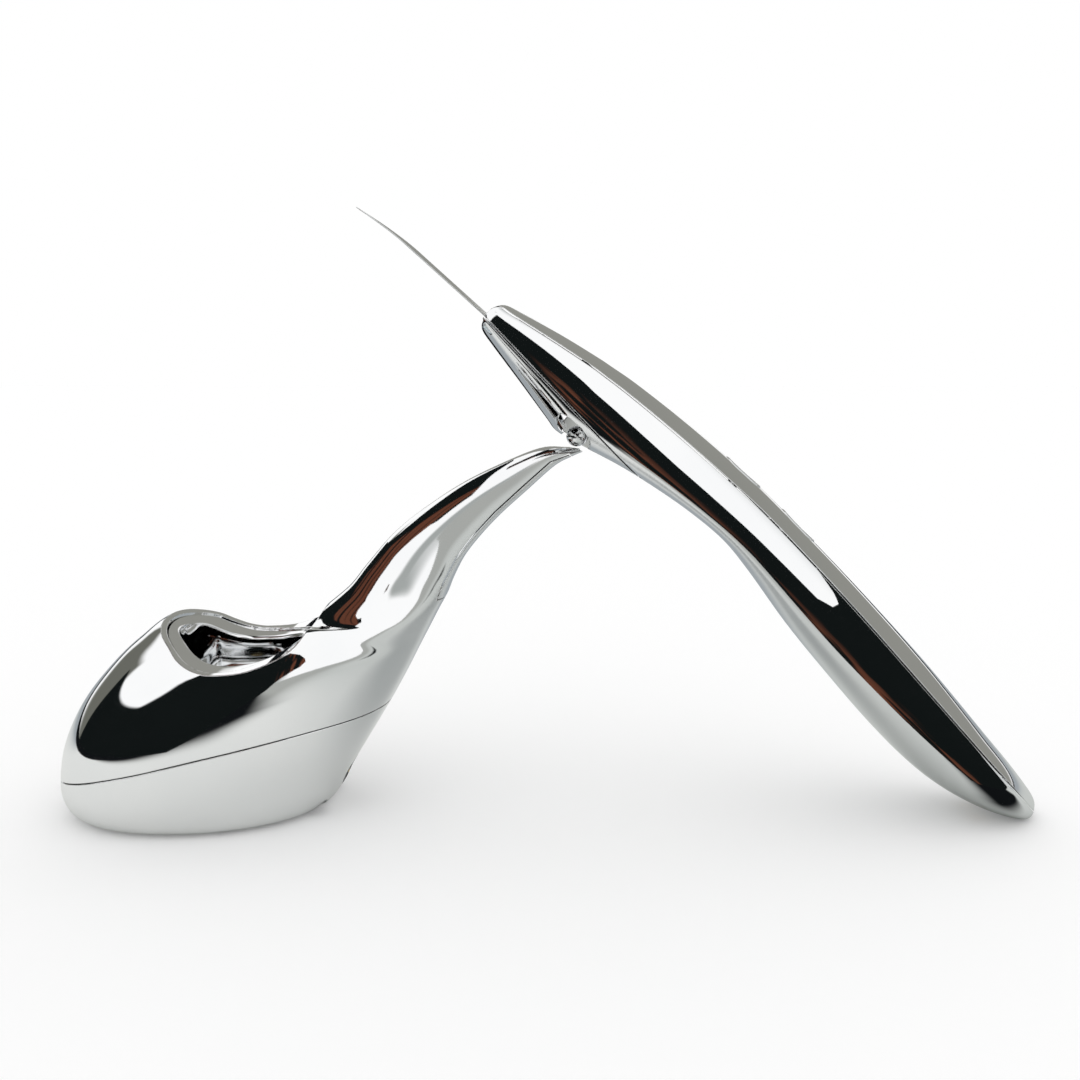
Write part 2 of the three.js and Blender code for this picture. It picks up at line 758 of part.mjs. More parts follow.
const halfBody = bodyWidth / 2;
const bellyPower = 2.2;
const sideBulgeShare = 0.35;
const outerSteps = [6, 2, 8];
const innerSteps = [4, 1, 6];
const innerRows = [2, 19];
const headRows = [1, 9];

function wandRows(cuts) {
  return smoothRows(wandRowShares, cuts).map(([x, top, seam, wide, bottom, half]) => ({
    x: x * bodyLength,
    top: top * bodyDepth,
    seam: seam * bodyDepth,
    wide: wide * bodyDepth,
    bottom: bottom * bodyDepth,
    half: half * halfBody,
  }));
}

function wandRing(row, inset, [crownCount, sideCount, bellyCount]) {
  const half = row.half - inset;
  const crown = crownShare * half;
  const top = row.top - inset;
  const points = [];
  for (let k = 0; k < crownCount; k++) {
    const v = 1 - 2 * k / crownCount;
    points.push([v * crown, row.seam + (top - row.seam) * (1 - v * v)]);
  }
  const left = sideCurve(row, crown, half, sideCount);
  for (const [y, z] of left) points.push([-y, z]);
  for (let k = 1; k < bellyCount; k++) {
    const angle = k / bellyCount * Math.PI;
    const across = Math.cos(angle);
    const y = -Math.sign(across) * Math.abs(across) ** (2 / bellyPower) * half;
    points.push([y, row.wide - (row.wide - row.bottom - inset) * Math.sin(angle) ** (2 / bellyPower)]);
  }
  for (const [y, z] of left.slice(1).reverse()) points.push([y, z]);
  return points.map(([y, z]) => new THREE.Vector3(row.x, y, z));
}

// From the crown's edge out to the widest line
function sideCurve(row, crown, half, steps) {
  const bend = row.seam - sideBulgeShare * (row.seam - row.wide);
  const points = [];
  for (let k = 0; k <= steps; k++) {
    const s = k / steps;
    const [from, mid, to] = [(1 - s) * (1 - s), 2 * s * (1 - s), s * s];
    points.push([from * crown + (mid + to) * half, from * row.seam + mid * bend + to * row.wide]);
  }
  return points;
}

const wandOuter = toSolid(loft(wandRows(2).map((row) => wandRing(row, 0, outerSteps))));
const hollowRows = wandRows(1).slice(...innerRows);
const wandInner = toSolid(loft(hollowRows.map((row) => wandRing(row, bodyWall, innerSteps))));
const wandShell = wandOuter.subtract(wandInner);
const beyond = 2 * bodyDepth;

function wandSlab(points, grow = 0) {
  return toSolid(sideSlab(points.map(([x, z]) => [x, z + grow]), bodyWidth));
}

function aboveSeam(lift) {
  const line = wandRows(2).map((row) => [row.x, row.seam]);
  const outline = [[-beyond, line[0][1]], ...line, [bodyLength + beyond, line[line.length - 1][1]],
    [bodyLength + beyond, beyond], [-beyond, beyond]];
  return wandSlab(outline, lift);
}

function headRegion(grow) {
  return toSolid(sideSlab(headSeamShares.map(([x, z]) => [
    x * bodyLength + (x > 0 ? grow : -grow),
    z * bodyDepth + (z > headSeamShares[2][1] ? grow : -grow),
  ]), bodyWidth));
}

function readWand(x) {
  const rows = wandRows(2).map((row) => [row.x, row.top, row.seam, row.wide, row.bottom, row.half]);
  const [, top, seam, , bottom, half] = readRow(rows, x);
  return { top, seam, bottom, half };
}

const bladeTop = -bladeDrop + bladeThickness / 2;
const bladeBottom = -bladeDrop - bladeThickness / 2;
const boardTop = mainBoardRise + mainBoardThickness;

function bladeSlot() {
  const height = bladeThickness + 2 * fitGap;
  return toSolid(block(2 * bladeRoot, bladeWidth + 2 * fitGap, height, 0, 0, bladeBottom - fitGap));
}

function sealBlock(grow) {
  const height = bladeThickness + 2 * sealWidth + 2 * grow;
  const width = bladeWidth + 2 * fitGap + 2 * sealRim + 2 * grow;
  const low = bladeBottom - sealWidth - grow;
  return toSolid(block(sealLength + 2 * grow, width, height, sealLength, 0, low));
}

function makeBlade() {
  const tipZ = -bladeDrop - bladeTipDrop;
  const edge = bladeThickness / 2;
  const edgeX = bladeEdgeLength - bladeReach;
  const side = [[bladeRoot, bladeTop], [-bladeBend, bladeTop], [edgeX, tipZ + 2 * edge],
    [-bladeReach, tipZ], [edgeX, tipZ], [-bladeBend, bladeBottom], [bladeRoot, bladeBottom]];
  let body = toSolid(sideSlab(side, bladeWidth));
  const middleX = (bladeRoot - bladeReach) / 2;
  const plan = roundedPlan(bladeReach + bladeRoot, bladeWidth, bladeCornerRadius, middleX);
  body = body.intersect(toSolid(planSlab(plan, -beyond, beyond)));
  return piece('blade', body.subtract(clampHoles()), 'satinSteel');
}

function clampPlaces() {
  const x = hornStart + hornLength / 3;
  return [[x, -clampScrewSpacing / 2], [x, clampScrewSpacing / 2]];
}

function clampHoles() {
  const radius = clampScrewRadius + fitGap;
  return joined(...clampPlaces().map(([x, y]) => toSolid(upright(radius, -beyond, beyond, x, y))));
}

function makeSeal() {
  const body = sealBlock(-fitGap / 3).subtract(bladeSlot());
  return piece('blade_seal', body, 'silicone');
}

const discStart = hornStart + hornLength + hornNeckLength;
const discEnd = discStart + flangeLength;
const firstRing = discEnd + seatGap;
const secondRing = firstRing + ringLength + seatGap;
const massStart = secondRing + ringLength + seatGap;
const massEnd = massStart + massLength;

function makeHorn() {
  const low = bladeTop + seatGap;
  const bar = toSolid(block(hornLength, hornWidth, hornThickness, hornStart + hornLength / 2, 0, low));
  const neckStart = hornStart + hornLength - hornNeckRadius;
  const neck = toSolid(lengthwise(hornNeckRadius, neckStart, discStart + fitGap, stackRise));
  const disc = toSolid(lengthwise(stackRadius, discStart, discEnd, stackRise));
  const threadStart = discStart - boltRadius;
  const thread = toSolid(lengthwise(boltRadius + fitGap, threadStart, discEnd + overrun, stackRise));
  return piece('horn', joined(bar, neck, disc).subtract(thread).subtract(clampHoles()), 'satinSteel');
}

function makeClamp() {
  const low = bladeBottom - seatGap - clampThickness;
  const bar = toSolid(block(hornLength, hornWidth, clampThickness, hornStart + hornLength / 2, 0, low));
  return piece('blade_clamp', bar.subtract(clampHoles()), 'satinSteel');
}

function makeClampScrews() {
  const low = bladeBottom - clampThickness;
  const seat = bladeTop + seatGap + hornThickness + seatGap - low;
  const profile = [[0, 0], [clampScrewRadius, 0], [clampScrewRadius, seat], [clampScrewHeadRadius, seat],
    [clampScrewHeadRadius, seat + clampScrewHeadHeight], [0, seat + clampScrewHeadHeight]];
  return clampPlaces().map(([x, y], i) =>
    piece(`blade_screw_${i + 1}`, turned(profile, x, y, low, smallSteps), 'darkSteel'));
}

function stackRing(start, length, bore) {
  const hole = toSolid(lengthwise(bore, start - overrun, start + length + overrun, stackRise));
  return toSolid(lengthwise(stackRadius, start, start + length, stackRise)).subtract(hole);
}

function makeStack() {
  const shaft = toSolid(lengthwise(boltRadius, discStart, massEnd + boltHeadLength, stackRise));
  const head = toSolid(lengthwise(boltHeadRadius, massEnd + seatGap, massEnd + boltHeadLength, stackRise));
  return [
    piece('piezo_ring_1', stackRing(firstRing, ringLength, ringBoreRadius), 'ceramic'),
    piece('piezo_ring_2', stackRing(secondRing, ringLength, ringBoreRadius), 'ceramic'),
    piece('back_mass', stackRing(massStart, massLength, ringBoreRadius), 'darkSteel'),
    piece('stack_bolt', shaft.add(head), 'satinSteel'),
  ];
}

// Wand housing

function wandPoints(shares) {
  return shares.map(([x, z]) => [x * bodyLength, z * bodyDepth]);
}

function buttonPlaces() {
  return [['power', powerButtonX], ['mode', modeButtonX]];
}

function buttonPlan(x, grow) {
  const corner = buttonWidth / 2 - fitGap + grow;
  return roundedPlan(buttonLength + 2 * grow, buttonWidth + 2 * grow, corner, x);
}

function makeTopCover() {
  let body = wandShell.intersect(aboveSeam(seamGap / 2)).subtract(bladeSlot()).subtract(sealBlock(0));
  for (const [, x] of buttonPlaces()) {
    body = body.subtract(toSolid(planSlab(buttonPlan(x, fitGap), 0, beyond)));
  }
  body = body.subtract(toSolid(upright(lightRadius + fitGap / 2, 0, beyond, lightX, 0)));
  return piece('top_cover', body, 'chrome');
}

function boardScrewPlaces() {
  return [mainBoardStart + boardScrewInset, mainBoardStart + mainBoardLength - boardScrewInset];
}

function contactPlaces() {
  return [-contactSpacing / 2, contactSpacing / 2];
}

function makeBodyShell() {
  const below = wandOuter.subtract(aboveSeam(-seamGap / 2)).subtract(headRegion(seamGap / 2));
  let body = wandShell.intersect(below).subtract(bladeSlot()).subtract(sealBlock(0));
  for (const x of boardScrewPlaces()) {
    const boss = toSolid(upright(bossRadius, -beyond, mainBoardRise - seatGap, x, 0)).intersect(below);
    const holeLow = mainBoardRise - boardScrewLength - fitGap;
    body = body.add(boss).subtract(toSolid(upright(boardScrewRadius + fitGap, holeLow, beyond, x, 0)));
  }
  const foamLow = -cellDrop - seatGap - foamThickness - seatGap;
  for (const x of [cellStart + cellRibInset, cellStart + cellLength - cellRibInset]) {
    const rib = toSolid(block(cellRibThickness, bodyWidth, beyond, x, 0, foamLow - beyond));
    body = body.add(rib.intersect(below));
  }
  for (const y of contactPlaces()) {
    body = body.subtract(toSolid(upright(contactRadius + fitGap, -beyond, 0, contactX, y)));
  }
  return piece('body_shell', body, 'chrome');
}

function makeHeadCover() {
  const region = headRegion(-seamGap / 2);
  const notch = wandPoints(notchShares);
  const roof = Math.max(...notch.map(([, z]) => z)) + bodyWall;
  const [start, end] = [notch[0][0] - bodyWall, notch[notch.length - 1][0] + bodyWall];
  const wall = wandSlab([[start, -beyond], [start, roof], [end, roof], [end, -beyond]]);
  let body = wandShell.add(wall.intersect(wandOuter)).intersect(region);
  body = body.subtract(wandSlab(notch)).subtract(bladeSlot()).subtract(sealBlock(0));
  body = body.subtract(toSolid(upright(ballStemRadius + fitGap, -beyond, beyond, ballX, 0)));
  return piece('head_cover', body.subtract(flankGrooves()), 'chrome');
}

// A fine groove along each flank of the head, which opens into the notch
function flankGrooves() {
  const [[x0, z0], [x1, z1]] = wandPoints(grooveShares);
  const band = wandSlab([[x0, z0], [x1, z1 - grooveWidth], [x1, z1 + grooveWidth]]);
  const rows = wandRows(1).slice(...headRows);
  return band.subtract(toSolid(loft(rows.map((row) => wandRing(row, grooveDepth, outerSteps)))));
}

function makeRestBall() {
  const ball = new THREE.SphereGeometry(ballRadius, roundSteps, smallSteps);
  ball.translate(ballX, 0, -ballDrop);
  const stem = upright(ballStemRadius, -ballDrop, -ballDrop + ballStemLength, ballX, 0, smallSteps);
  return piece('rest_ball', toSolid(ball).add(toSolid(stem)), 'chrome');
}

function makeButton(name, x) {
  const cover = readWand(x);
  const across = (buttonWidth / 2 + buttonSkirt) / (crownShare * cover.half);
  const edge = cover.seam + (cover.top - cover.seam) * (1 - across * across);
  const flangeTop = edge - bodyWall - fitGap - buttonFlangeThickness / 2;
  const flangeLow = flangeTop - buttonFlangeThickness;
  const cap = toSolid(planSlab(buttonPlan(x, 0), flangeLow, beyond));
  const flange = toSolid(planSlab(buttonPlan(x, buttonSkirt), flangeLow, flangeTop));
  const stemLow = boardTop + switchHeight + buttonTravel + seatGap;
  const stem = toSolid(upright(switchStemRadius, stemLow, flangeTop, x, 0));
  const body = cap.intersect(wandOuter.translate(0, 0, buttonProud)).add(flange).add(stem);
  return piece(`${name}_button`, body, 'chrome');
}

function makeSwitch(name, x) {
  const body = block(switchSize, switchSize, switchHeight, x, 0, boardTop + seatGap);
  return piece(`${name}_switch`, body, 'blackPlastic');
}

function makeLightPipe() {
  const cover = readWand(lightX);
  const flange = cover.top - bodyWall - fitGap - seatGap;
  const low = cover.top - lightPipeLength;
  const rod = toSolid(upright(lightRadius, low, beyond, lightX, 0)).intersect(wandOuter);
  const collar = toSolid(upright(lightFlangeRadius, flange - buttonFlangeThickness, flange, lightX, 0));
  return piece('light_pipe', rod.add(collar), 'clear');
}

function makeMainBoard() {
  const middleX = mainBoardStart + mainBoardLength / 2;
  const plan = roundedPlan(mainBoardLength, mainBoardWidth, boardThickness, middleX);
  let body = toSolid(planSlab(plan, mainBoardRise, boardTop));
  for (const x of boardScrewPlaces()) {
    body = body.subtract(toSolid(upright(boardScrewRadius + fitGap, -beyond, beyond, x, 0)));
  }
  return piece('main_board', body, 'board');
}

function makeBoardScrews() {
  const seat = boardScrewLength + mainBoardThickness + seatGap;
  const top = seat + boardScrewHeadHeight;
  const profile = [[0, 0], [boardScrewRadius, 0], [boardScrewRadius, seat], [boardScrewHeadRadius, seat],
    [boardScrewHeadRadius, top], [0, top]];
  const low = mainBoardRise - boardScrewLength;
  return boardScrewPlaces().map((x, i) =>
    piece(`board_screw_${i + 1}`, turned(profile, x, 0, low, smallSteps), 'darkSteel'));
}

function makeBoardParts() {
  const coil = [[coilCoreRadius, 0], [coilRadius, 0], [coilRadius, coilHeight],
    [coilCoreRadius, coilHeight], [coilCoreRadius, 0]];
  const chip = block(chipSize, chipSize, chipHeight, chipX, 0, boardTop + seatGap);
  return [
    piece('controller_chip', chip, 'blackPlastic'),
    piece('drive_coil', turned(coil, coilX, 0, mainBoardRise - seatGap - coilHeight), 'copper'),
    piece('status_led', block(ledSize, ledSize, ledHeight, lightX, 0, boardTop + seatGap), 'clear'),
  ];
}

function makeCell() {
  const plan = roundedPlan(cellLength, cellWidth, bodyWall, cellStart + cellLength / 2);
  return piece('battery', planSlab(plan, -cellDrop, -cellDrop + cellThickness), 'foil');
}

function makeFoam() {
  const low = -cellDrop - seatGap - foamThickness;
  const sheet = block(cellLength, cellWidth, foamThickness, cellStart + cellLength / 2, 0, low);
  return piece('battery_foam', sheet, 'foam');
}

function makeTailContacts() {
  const low = readWand(contactX).bottom;
  const inside = low + bodyWall;
  return contactPlaces().map((y, i) => {
    const head = toSolid(upright(contactRadius, -beyond, inside, contactX, y)).intersect(wandOuter);
    const stemTop = inside + contactStemLength;
    const stem = toSolid(upright(contactStemRadius, inside, stemTop, contactX, y, smallSteps));
    return piece(`tail_contact_${i + 1}`, head.add(stem), 'brass');
  });
}

// Where the wand leans: its ball on the beak of the neck, its tail on the table

function beakTop() {
  const line = standRows(2).map((row) => [row.front.x, row.front.y]);
  return readRow(line.filter(([x]) => x > ballRestX - overrun), ballRestX)[1];
}

const ballHeight = beakTop() + restGap + ballRadius;

function tailHeight(angle) {
  const heights = wandRows(2).map((row) =>
    ballHeight - (row.x - ballX) * Math.sin(angle) + (row.bottom + ballDrop) * Math.cos(angle));
  return Math.min(...heights);
}

function leanAngle() {
  let [low, high] = [0, Math.PI / 2];
  while (high - low > Number.EPSILON * overrun) {
    const angle = (low + high) / 2;
    if (tailHeight(angle) > tailGap) low = angle;
    else high = angle;
  }
  return low;
}

// Assembly

const stand = new THREE.Group();
stand.add(makeStandShell(), makeNeckCover(), makeBaseShell(), makeCupLiner(), makeFootPad(), makeBallast());
stand.add(makeChargeBoard(), makeJack(), makeJackPin(), ...makePinBarrels(), ...makePins());
stand.add(...makeBaseScrews());

const wand = new THREE.Group();
wand.add(makeTopCover(), makeBodyShell(), makeHeadCover(), makeRestBall(), makeBlade(), makeSeal());
wand.add(makeHorn(), makeClamp(), ...makeClampScrews(), ...makeStack());
for (const [name, x] of buttonPlaces()) wand.add(makeButton(name, x), makeSwitch(name, x));
wand.add(makeLightPipe(), makeMainBoard(), ...makeBoardScrews(), ...makeBoardParts());
wand.add(makeCell(), makeFoam(), ...makeTailContacts());

const lean = leanAngle();
wand.rotation.y = lean;
wand.position.set(
  ballRestX - ballX * Math.cos(lean) + ballDrop * Math.sin(lean),
  0,
  ballHeight + ballX * Math.sin(lean) + ballDrop * Math.cos(lean),
);

const scrubber = new THREE.Group();
scrubber.add(stand, wand);

export default scrubber;
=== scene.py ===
# Ultrasonic skin scrubber that leans on the swan neck of its chrome charging stand
import math

import bpy
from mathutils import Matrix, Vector


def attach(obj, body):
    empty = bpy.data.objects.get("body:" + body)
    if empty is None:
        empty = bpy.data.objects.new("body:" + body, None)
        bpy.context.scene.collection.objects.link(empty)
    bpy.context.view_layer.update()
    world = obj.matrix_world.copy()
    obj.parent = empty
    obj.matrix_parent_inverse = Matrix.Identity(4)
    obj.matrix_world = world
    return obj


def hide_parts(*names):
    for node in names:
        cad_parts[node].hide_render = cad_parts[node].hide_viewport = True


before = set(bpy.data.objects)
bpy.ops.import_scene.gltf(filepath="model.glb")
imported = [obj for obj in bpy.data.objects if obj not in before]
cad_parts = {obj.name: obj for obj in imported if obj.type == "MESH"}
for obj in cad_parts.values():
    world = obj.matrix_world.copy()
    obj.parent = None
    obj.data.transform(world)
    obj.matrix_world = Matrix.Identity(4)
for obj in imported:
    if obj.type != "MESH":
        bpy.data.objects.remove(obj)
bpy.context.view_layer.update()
mm = 0.001  # every size below is in millimetres
clearance = 0.3  # room between pieces that fit together
weldDistance = 1e-7  # nearer points are one, in metres
smoothAngle = 32  # edges turned further stay sharp, in degrees
print("frame loaded")

# Camera, in metres and degrees
cameraValues = {"target": (0.08441, 0, 0.06632), "azimuth": 2.5, "elevation": 9.4, "distance": 0.263,
                "lens": 36.82, "sensor": 36, "nearest": 0.01}


def placeCamera(v):
    azimuth, elevation = math.radians(v["azimuth"]), math.radians(v["elevation"])
    level = math.cos(elevation)
    away = Vector((math.sin(azimuth) * level, -math.cos(azimuth) * level, math.sin(elevation)))
    bpy.ops.object.camera_add(location=Vector(v["target"]) + away * v["distance"])
    camera = bpy.context.object
    camera.rotation_euler = (-away).to_track_quat("-Z", "Y").to_euler()
    camera.data.lens = v["lens"]
    camera.data.sensor_width = v["sensor"]
    camera.data.clip_start = v["nearest"]
    bpy.context.scene.camera = camera


placeCamera(cameraValues)
print("camera placed")


def pick(piece):
    bpy.ops.object.select_all(action="DESELECT")
    piece.select_set(True)
    bpy.context.view_layer.objects.active = piece


def addPiece(name, add, **options):  # a new mesh, with its place, turn and size taken in
    bpy.ops.object.select_all(action="DESELECT")
    add(**options)
    piece = bpy.context.object
    piece.name = piece.data.name = name
    bpy.ops.object.transform_apply(location=True, rotation=True, scale=True)
    return piece


def placePiece(piece, turn, place):  # turned and moved, with both taken into its mesh
    pick(piece)
    piece.rotation_euler = turn
    piece.location = Vector(place) * mm
    bpy.ops.object.transform_apply(location=True, rotation=True, scale=True)


def smoothRows(rows, cuts):  # rows of numbers with smooth rows put between them
    result = []
    for i in range(len(rows) - 1):
        before, after = rows[max(i - 1, 0)], rows[min(i + 2, len(rows) - 1)]
        for k in range(cuts):
            t = k / cuts
            row = []
            for a, b, c, d in zip(before, rows[i], rows[i + 1], after):
                row.append(b * (2 * t**3 - 3 * t**2 + 1) + c * (3 * t**2 - 2 * t**3)
                           + (c - a) / 2 * (t**3 - 2 * t**2 + t) + (d - b) / 2 * (t**3 - t**2))
            result.append(row)
    result.append(list(rows[-1]))
    return result


def readLine(line, value):  # straight-line reading of [x, z] points
    for (x0, z0), (x1, z1) in zip(line, line[1:]):
        if value <= x1:
            break
    share = min(max((value - x0) / (x1 - x0), 0), 1)
    return z0 + (z1 - z0) * share


def loftPiece(name, rings):  # a closed skin through rings of points
    around = len(rings[0])
    piece = addPiece(name, bpy.ops.mesh.primitive_grid_add, x_subdivisions=around, y_subdivisions=len(rings) - 1)
    for index, vertex in enumerate(piece.data.vertices):
        ring, place = divmod(index, around + 1)
        vertex.co = Vector(rings[ring][place % around]) * mm
    bpy.ops.object.mode_set(mode="EDIT")
    bpy.ops.mesh.select_all(action="SELECT")
    bpy.ops.mesh.remove_doubles(threshold=weldDistance)
    bpy.ops.mesh.fill_holes(sides=0)
    bpy.ops.mesh.normals_make_consistent(inside=False)
    bpy.ops.object.mode_set(mode="OBJECT")
    return piece


def slabPiece(name, outline, low, high, side=False):  # an outline in plan, or in side view, pushed out
    piece = addPiece(name, bpy.ops.mesh.primitive_circle_add, vertices=len(outline), fill_type="NGON")
    for vertex, (a, b) in zip(piece.data.vertices, outline):
        vertex.co = Vector((a, low, b) if side else (a, b, low)) * mm
    push = Vector((0, 1, 0) if side else (0, 0, 1)) * (high - low) * mm
    bpy.ops.object.mode_set(mode="EDIT")
    bpy.ops.mesh.select_all(action="SELECT")
    bpy.ops.mesh.extrude_region_move(TRANSFORM_OT_translate={"value": push})
    bpy.ops.mesh.select_all(action="SELECT")
    bpy.ops.mesh.normals_make_consistent(inside=False)
    bpy.ops.object.mode_set(mode="OBJECT")
    return piece


def rodPiece(name, radius, low, high, x, y, steps=48):  # an upright rod
    return addPiece(name, bpy.ops.mesh.primitive_cylinder_add, vertices=steps, radius=radius * mm,
                    depth=(high - low) * mm, location=(x * mm, y * mm, (low + high) / 2 * mm))


def lyingRod(name, radius, start, end, z, steps=48):  # a rod along x
    return addPiece(name, bpy.ops.mesh.primitive_cylinder_add, vertices=steps, radius=radius * mm,
                    depth=(end - start) * mm, location=((start + end) / 2 * mm, 0, z * mm),
                    rotation=(0, math.pi / 2, 0))


def spherePiece(name, radius, x, z):
    return addPiece(name, bpy.ops.mesh.primitive_uv_sphere_add, segments=64, ring_count=32, radius=radius * mm,
                    location=(x * mm, 0, z * mm))


def blockPiece(name, size, x, y, low):
    return addPiece(name, bpy.ops.mesh.primitive_cube_add, size=1, scale=Vector(size) * mm,
                    location=(x * mm, y * mm, (low + size[2] / 2) * mm))


def fullTurn(count):
    return [k / count * 2 * math.pi for k in range(count)]


def quarterTurn(count):  # 1 - cosine and 1 - sine from 0 to 90 degrees
    angles = [k / count * math.pi / 2 for k in range(count + 1)]
    return [(1 - math.cos(angle), 1 - math.sin(angle)) for angle in angles]


def turnedPiece(name, profile, x, y, base, steps=48):  # (radius, height) points turned about an upright axis
    rings = [[(x + radius * math.cos(angle), y + radius * math.sin(angle), base + height)
              for angle in fullTurn(steps)] for radius, height in profile]
    return loftPiece(name, rings)


def roundTip(radius, height, tip, count=6):  # the rounded end of a turned pin
    return [(radius - tip * inward, height - tip * down) for inward, down in quarterTurn(count)]


def roundedPlan(length, width, corner, middle, steps=8):  # a rectangle with round corners
    points = []
    for cx, cy, turn in ((1, 1, 0), (-1, 1, 1), (-1, -1, 2), (1, -1, 3)):
        for k in range(steps + 1):
            angle = (turn + k / steps) * math.pi / 2
            points.append((middle + cx * (length / 2 - corner) + corner * math.cos(angle),
                           cy * (width / 2 - corner) + corner * math.sin(angle)))
    return points


def ovalPlan(length, width, middle, steps=96):
    return [(middle + length / 2 * math.cos(angle), width / 2 * math.sin(angle)) for angle in fullTurn(steps)]


def combine(piece, tool, operation="DIFFERENCE"):  # the tool is used up
    pick(piece)
    modifier = piece.modifiers.new("cut", "BOOLEAN")
    modifier.operation = operation
    modifier.solver = "MANIFOLD"
    modifier.object = tool
    bpy.ops.object.modifier_apply(modifier=modifier.name)
    bpy.data.objects.remove(tool)
    return piece


def feed(tree, socket, value):  # a number, a colour or another node's output
    if isinstance(value, tuple):
        socket.default_value = (*value, 1)
    elif isinstance(value, (int, float)):
        socket.default_value = value
    else:
        tree.links.new(value, socket)


def calc(tree, operation, *values):
    node = tree.nodes.new("ShaderNodeMath")
    node.operation = operation
    for socket, value in zip(node.inputs, values):
        feed(tree, socket, value)
    return node.outputs[0]


def vectorCalc(tree, operation, place, other):  # one number out of two points
    node = tree.nodes.new("ShaderNodeVectorMath")
    node.operation = operation
    tree.links.new(place, node.inputs[0])
    node.inputs[1].default_value = other
    return node.outputs["Value"]


def ramp(tree, value, start, end, low=0, high=1):  # a soft step from low to high
    node = tree.nodes.new("ShaderNodeMapRange")
    node.interpolation_type = "SMOOTHSTEP"
    for name, number in (("From Min", start), ("From Max", end), ("To Min", low), ("To Max", high)):
        node.inputs[name].default_value = number
    tree.links.new(value, node.inputs["Value"])
    return node.outputs["Result"]


def blend(tree, share, first, second):
    node = tree.nodes.new("ShaderNodeMix")
    node.data_type = "RGBA"
    for name, value in (("Factor", share), ("A", first), ("B", second)):
        feed(tree, node.inputs[name], value)
    return node.outputs["Result"]


# Finishes
finishValues = {  # base, second and worn colour, metal, roughness, size of patches and of grain, its depth, extras
    "chrome": (
        (0.905, 0.91, 0.915), (0.885, 0.893, 0.9), (0.97, 0.97, 0.97), 1, (0.015, 0.05), 22, (9, 9, 0.35), 0.00006,
        {"wave": (14, 0.004), "edge": 0.35}),
    "satin_steel": (
        (0.80, 0.805, 0.81), (0.73, 0.74, 0.75), (0.9, 0.9, 0.9), 1, (0.14, 0.3), 16, (14, 0.12, 0.12), 0.0012,
        {"turn": 41.6929}),
    "dark_steel": (
        (0.40, 0.415, 0.425), (0.27, 0.285, 0.30), (0.62, 0.63, 0.64), 1, (0.28, 0.5), 5, (0.5, 0.5, 0.5), 0.004,
        {}),
    "brass": (
        (0.83, 0.63, 0.30), (0.70, 0.48, 0.20), (0.90, 0.78, 0.52), 1, (0.12, 0.3), 2.5, (0.25, 0.25, 0.25), 0.002,
        {}),
    "copper": (
        (0.62, 0.25, 0.11), (0.45, 0.15, 0.06), (0.75, 0.42, 0.22), 1, (0.2, 0.4), 3, (6, 6, 0.3), 0.06,
        {"kind": "bands"}),
    "cell_foil": (
        (0.68, 0.70, 0.72), (0.52, 0.54, 0.56), (0.82, 0.83, 0.84), 1, (0.22, 0.45), 8, (3, 3, 3), 0.05, {}),
    "silicone": (
        (0.60, 0.62, 0.62), (0.48, 0.50, 0.50), (0.68, 0.69, 0.69), 0, (0.42, 0.62), 4, (0.3, 0.3, 0.3), 0.006,
        {"sockets": {"Subsurface Weight": 0.15}}),
    "rubber": (
        (0.018, 0.018, 0.02), (0.034, 0.034, 0.036), (0.07, 0.07, 0.072), 0, (0.62, 0.85), 6, (0.25, 0.25, 0.25),
        0.03, {"kind": "cells"}),
    "black_plastic": (
        (0.011, 0.011, 0.012), (0.02, 0.02, 0.022), (0.05, 0.05, 0.052), 0, (0.4, 0.6), 4, (0.2, 0.2, 0.2), 0.012,
        {"kind": "cells"}),
    "circuit_board": (
        (0.012, 0.10, 0.045), (0.03, 0.19, 0.085), (0.30, 0.27, 0.14), 0, (0.22, 0.42), 7, (1.4, 0.5, 0.5), 0.03,
        {"kind": "cells"}),
    "ceramic": (
        (0.78, 0.74, 0.63), (0.66, 0.61, 0.50), (0.85, 0.83, 0.76), 0, (0.2, 0.38), 2, (0.35, 0.35, 0.35), 0.008,
        {}),
    "clear_plastic": (
        (0.86, 0.90, 0.95), (0.78, 0.84, 0.91), (0.95, 0.97, 1), 0, (0.05, 0.16), 1.5, (0.2, 0.2, 0.2), 0.001,
        {"sockets": {"Transmission Weight": 0.8, "IOR": 1.49}}),
    "foam": (
        (0.035, 0.035, 0.038), (0.06, 0.06, 0.064), (0.09, 0.09, 0.095), 0, (0.8, 0.95), 5, (0.45, 0.45, 0.45),
        0.12, {"kind": "cells"}),
}
finishSteps = {  # start and end of each soft step, and its low and high
    "second": (0.38, 0.66), "edges": (0.53, 0.62), "worn": (0.35, 0.6, 0.2, 0.8),
    "grainRough": (0.3, 0.7), "patchRough": (0.35, 0.7),
}
finishDetail = {"edge": 0.15, "edgeSamples": 4, "patchDetail": 4, "bandWobble": 0.4}
textureKinds = {"noise": ("Noise", "Fac"), "cells": ("Voronoi", "Distance"), "bands": ("Wave", "Fac")}


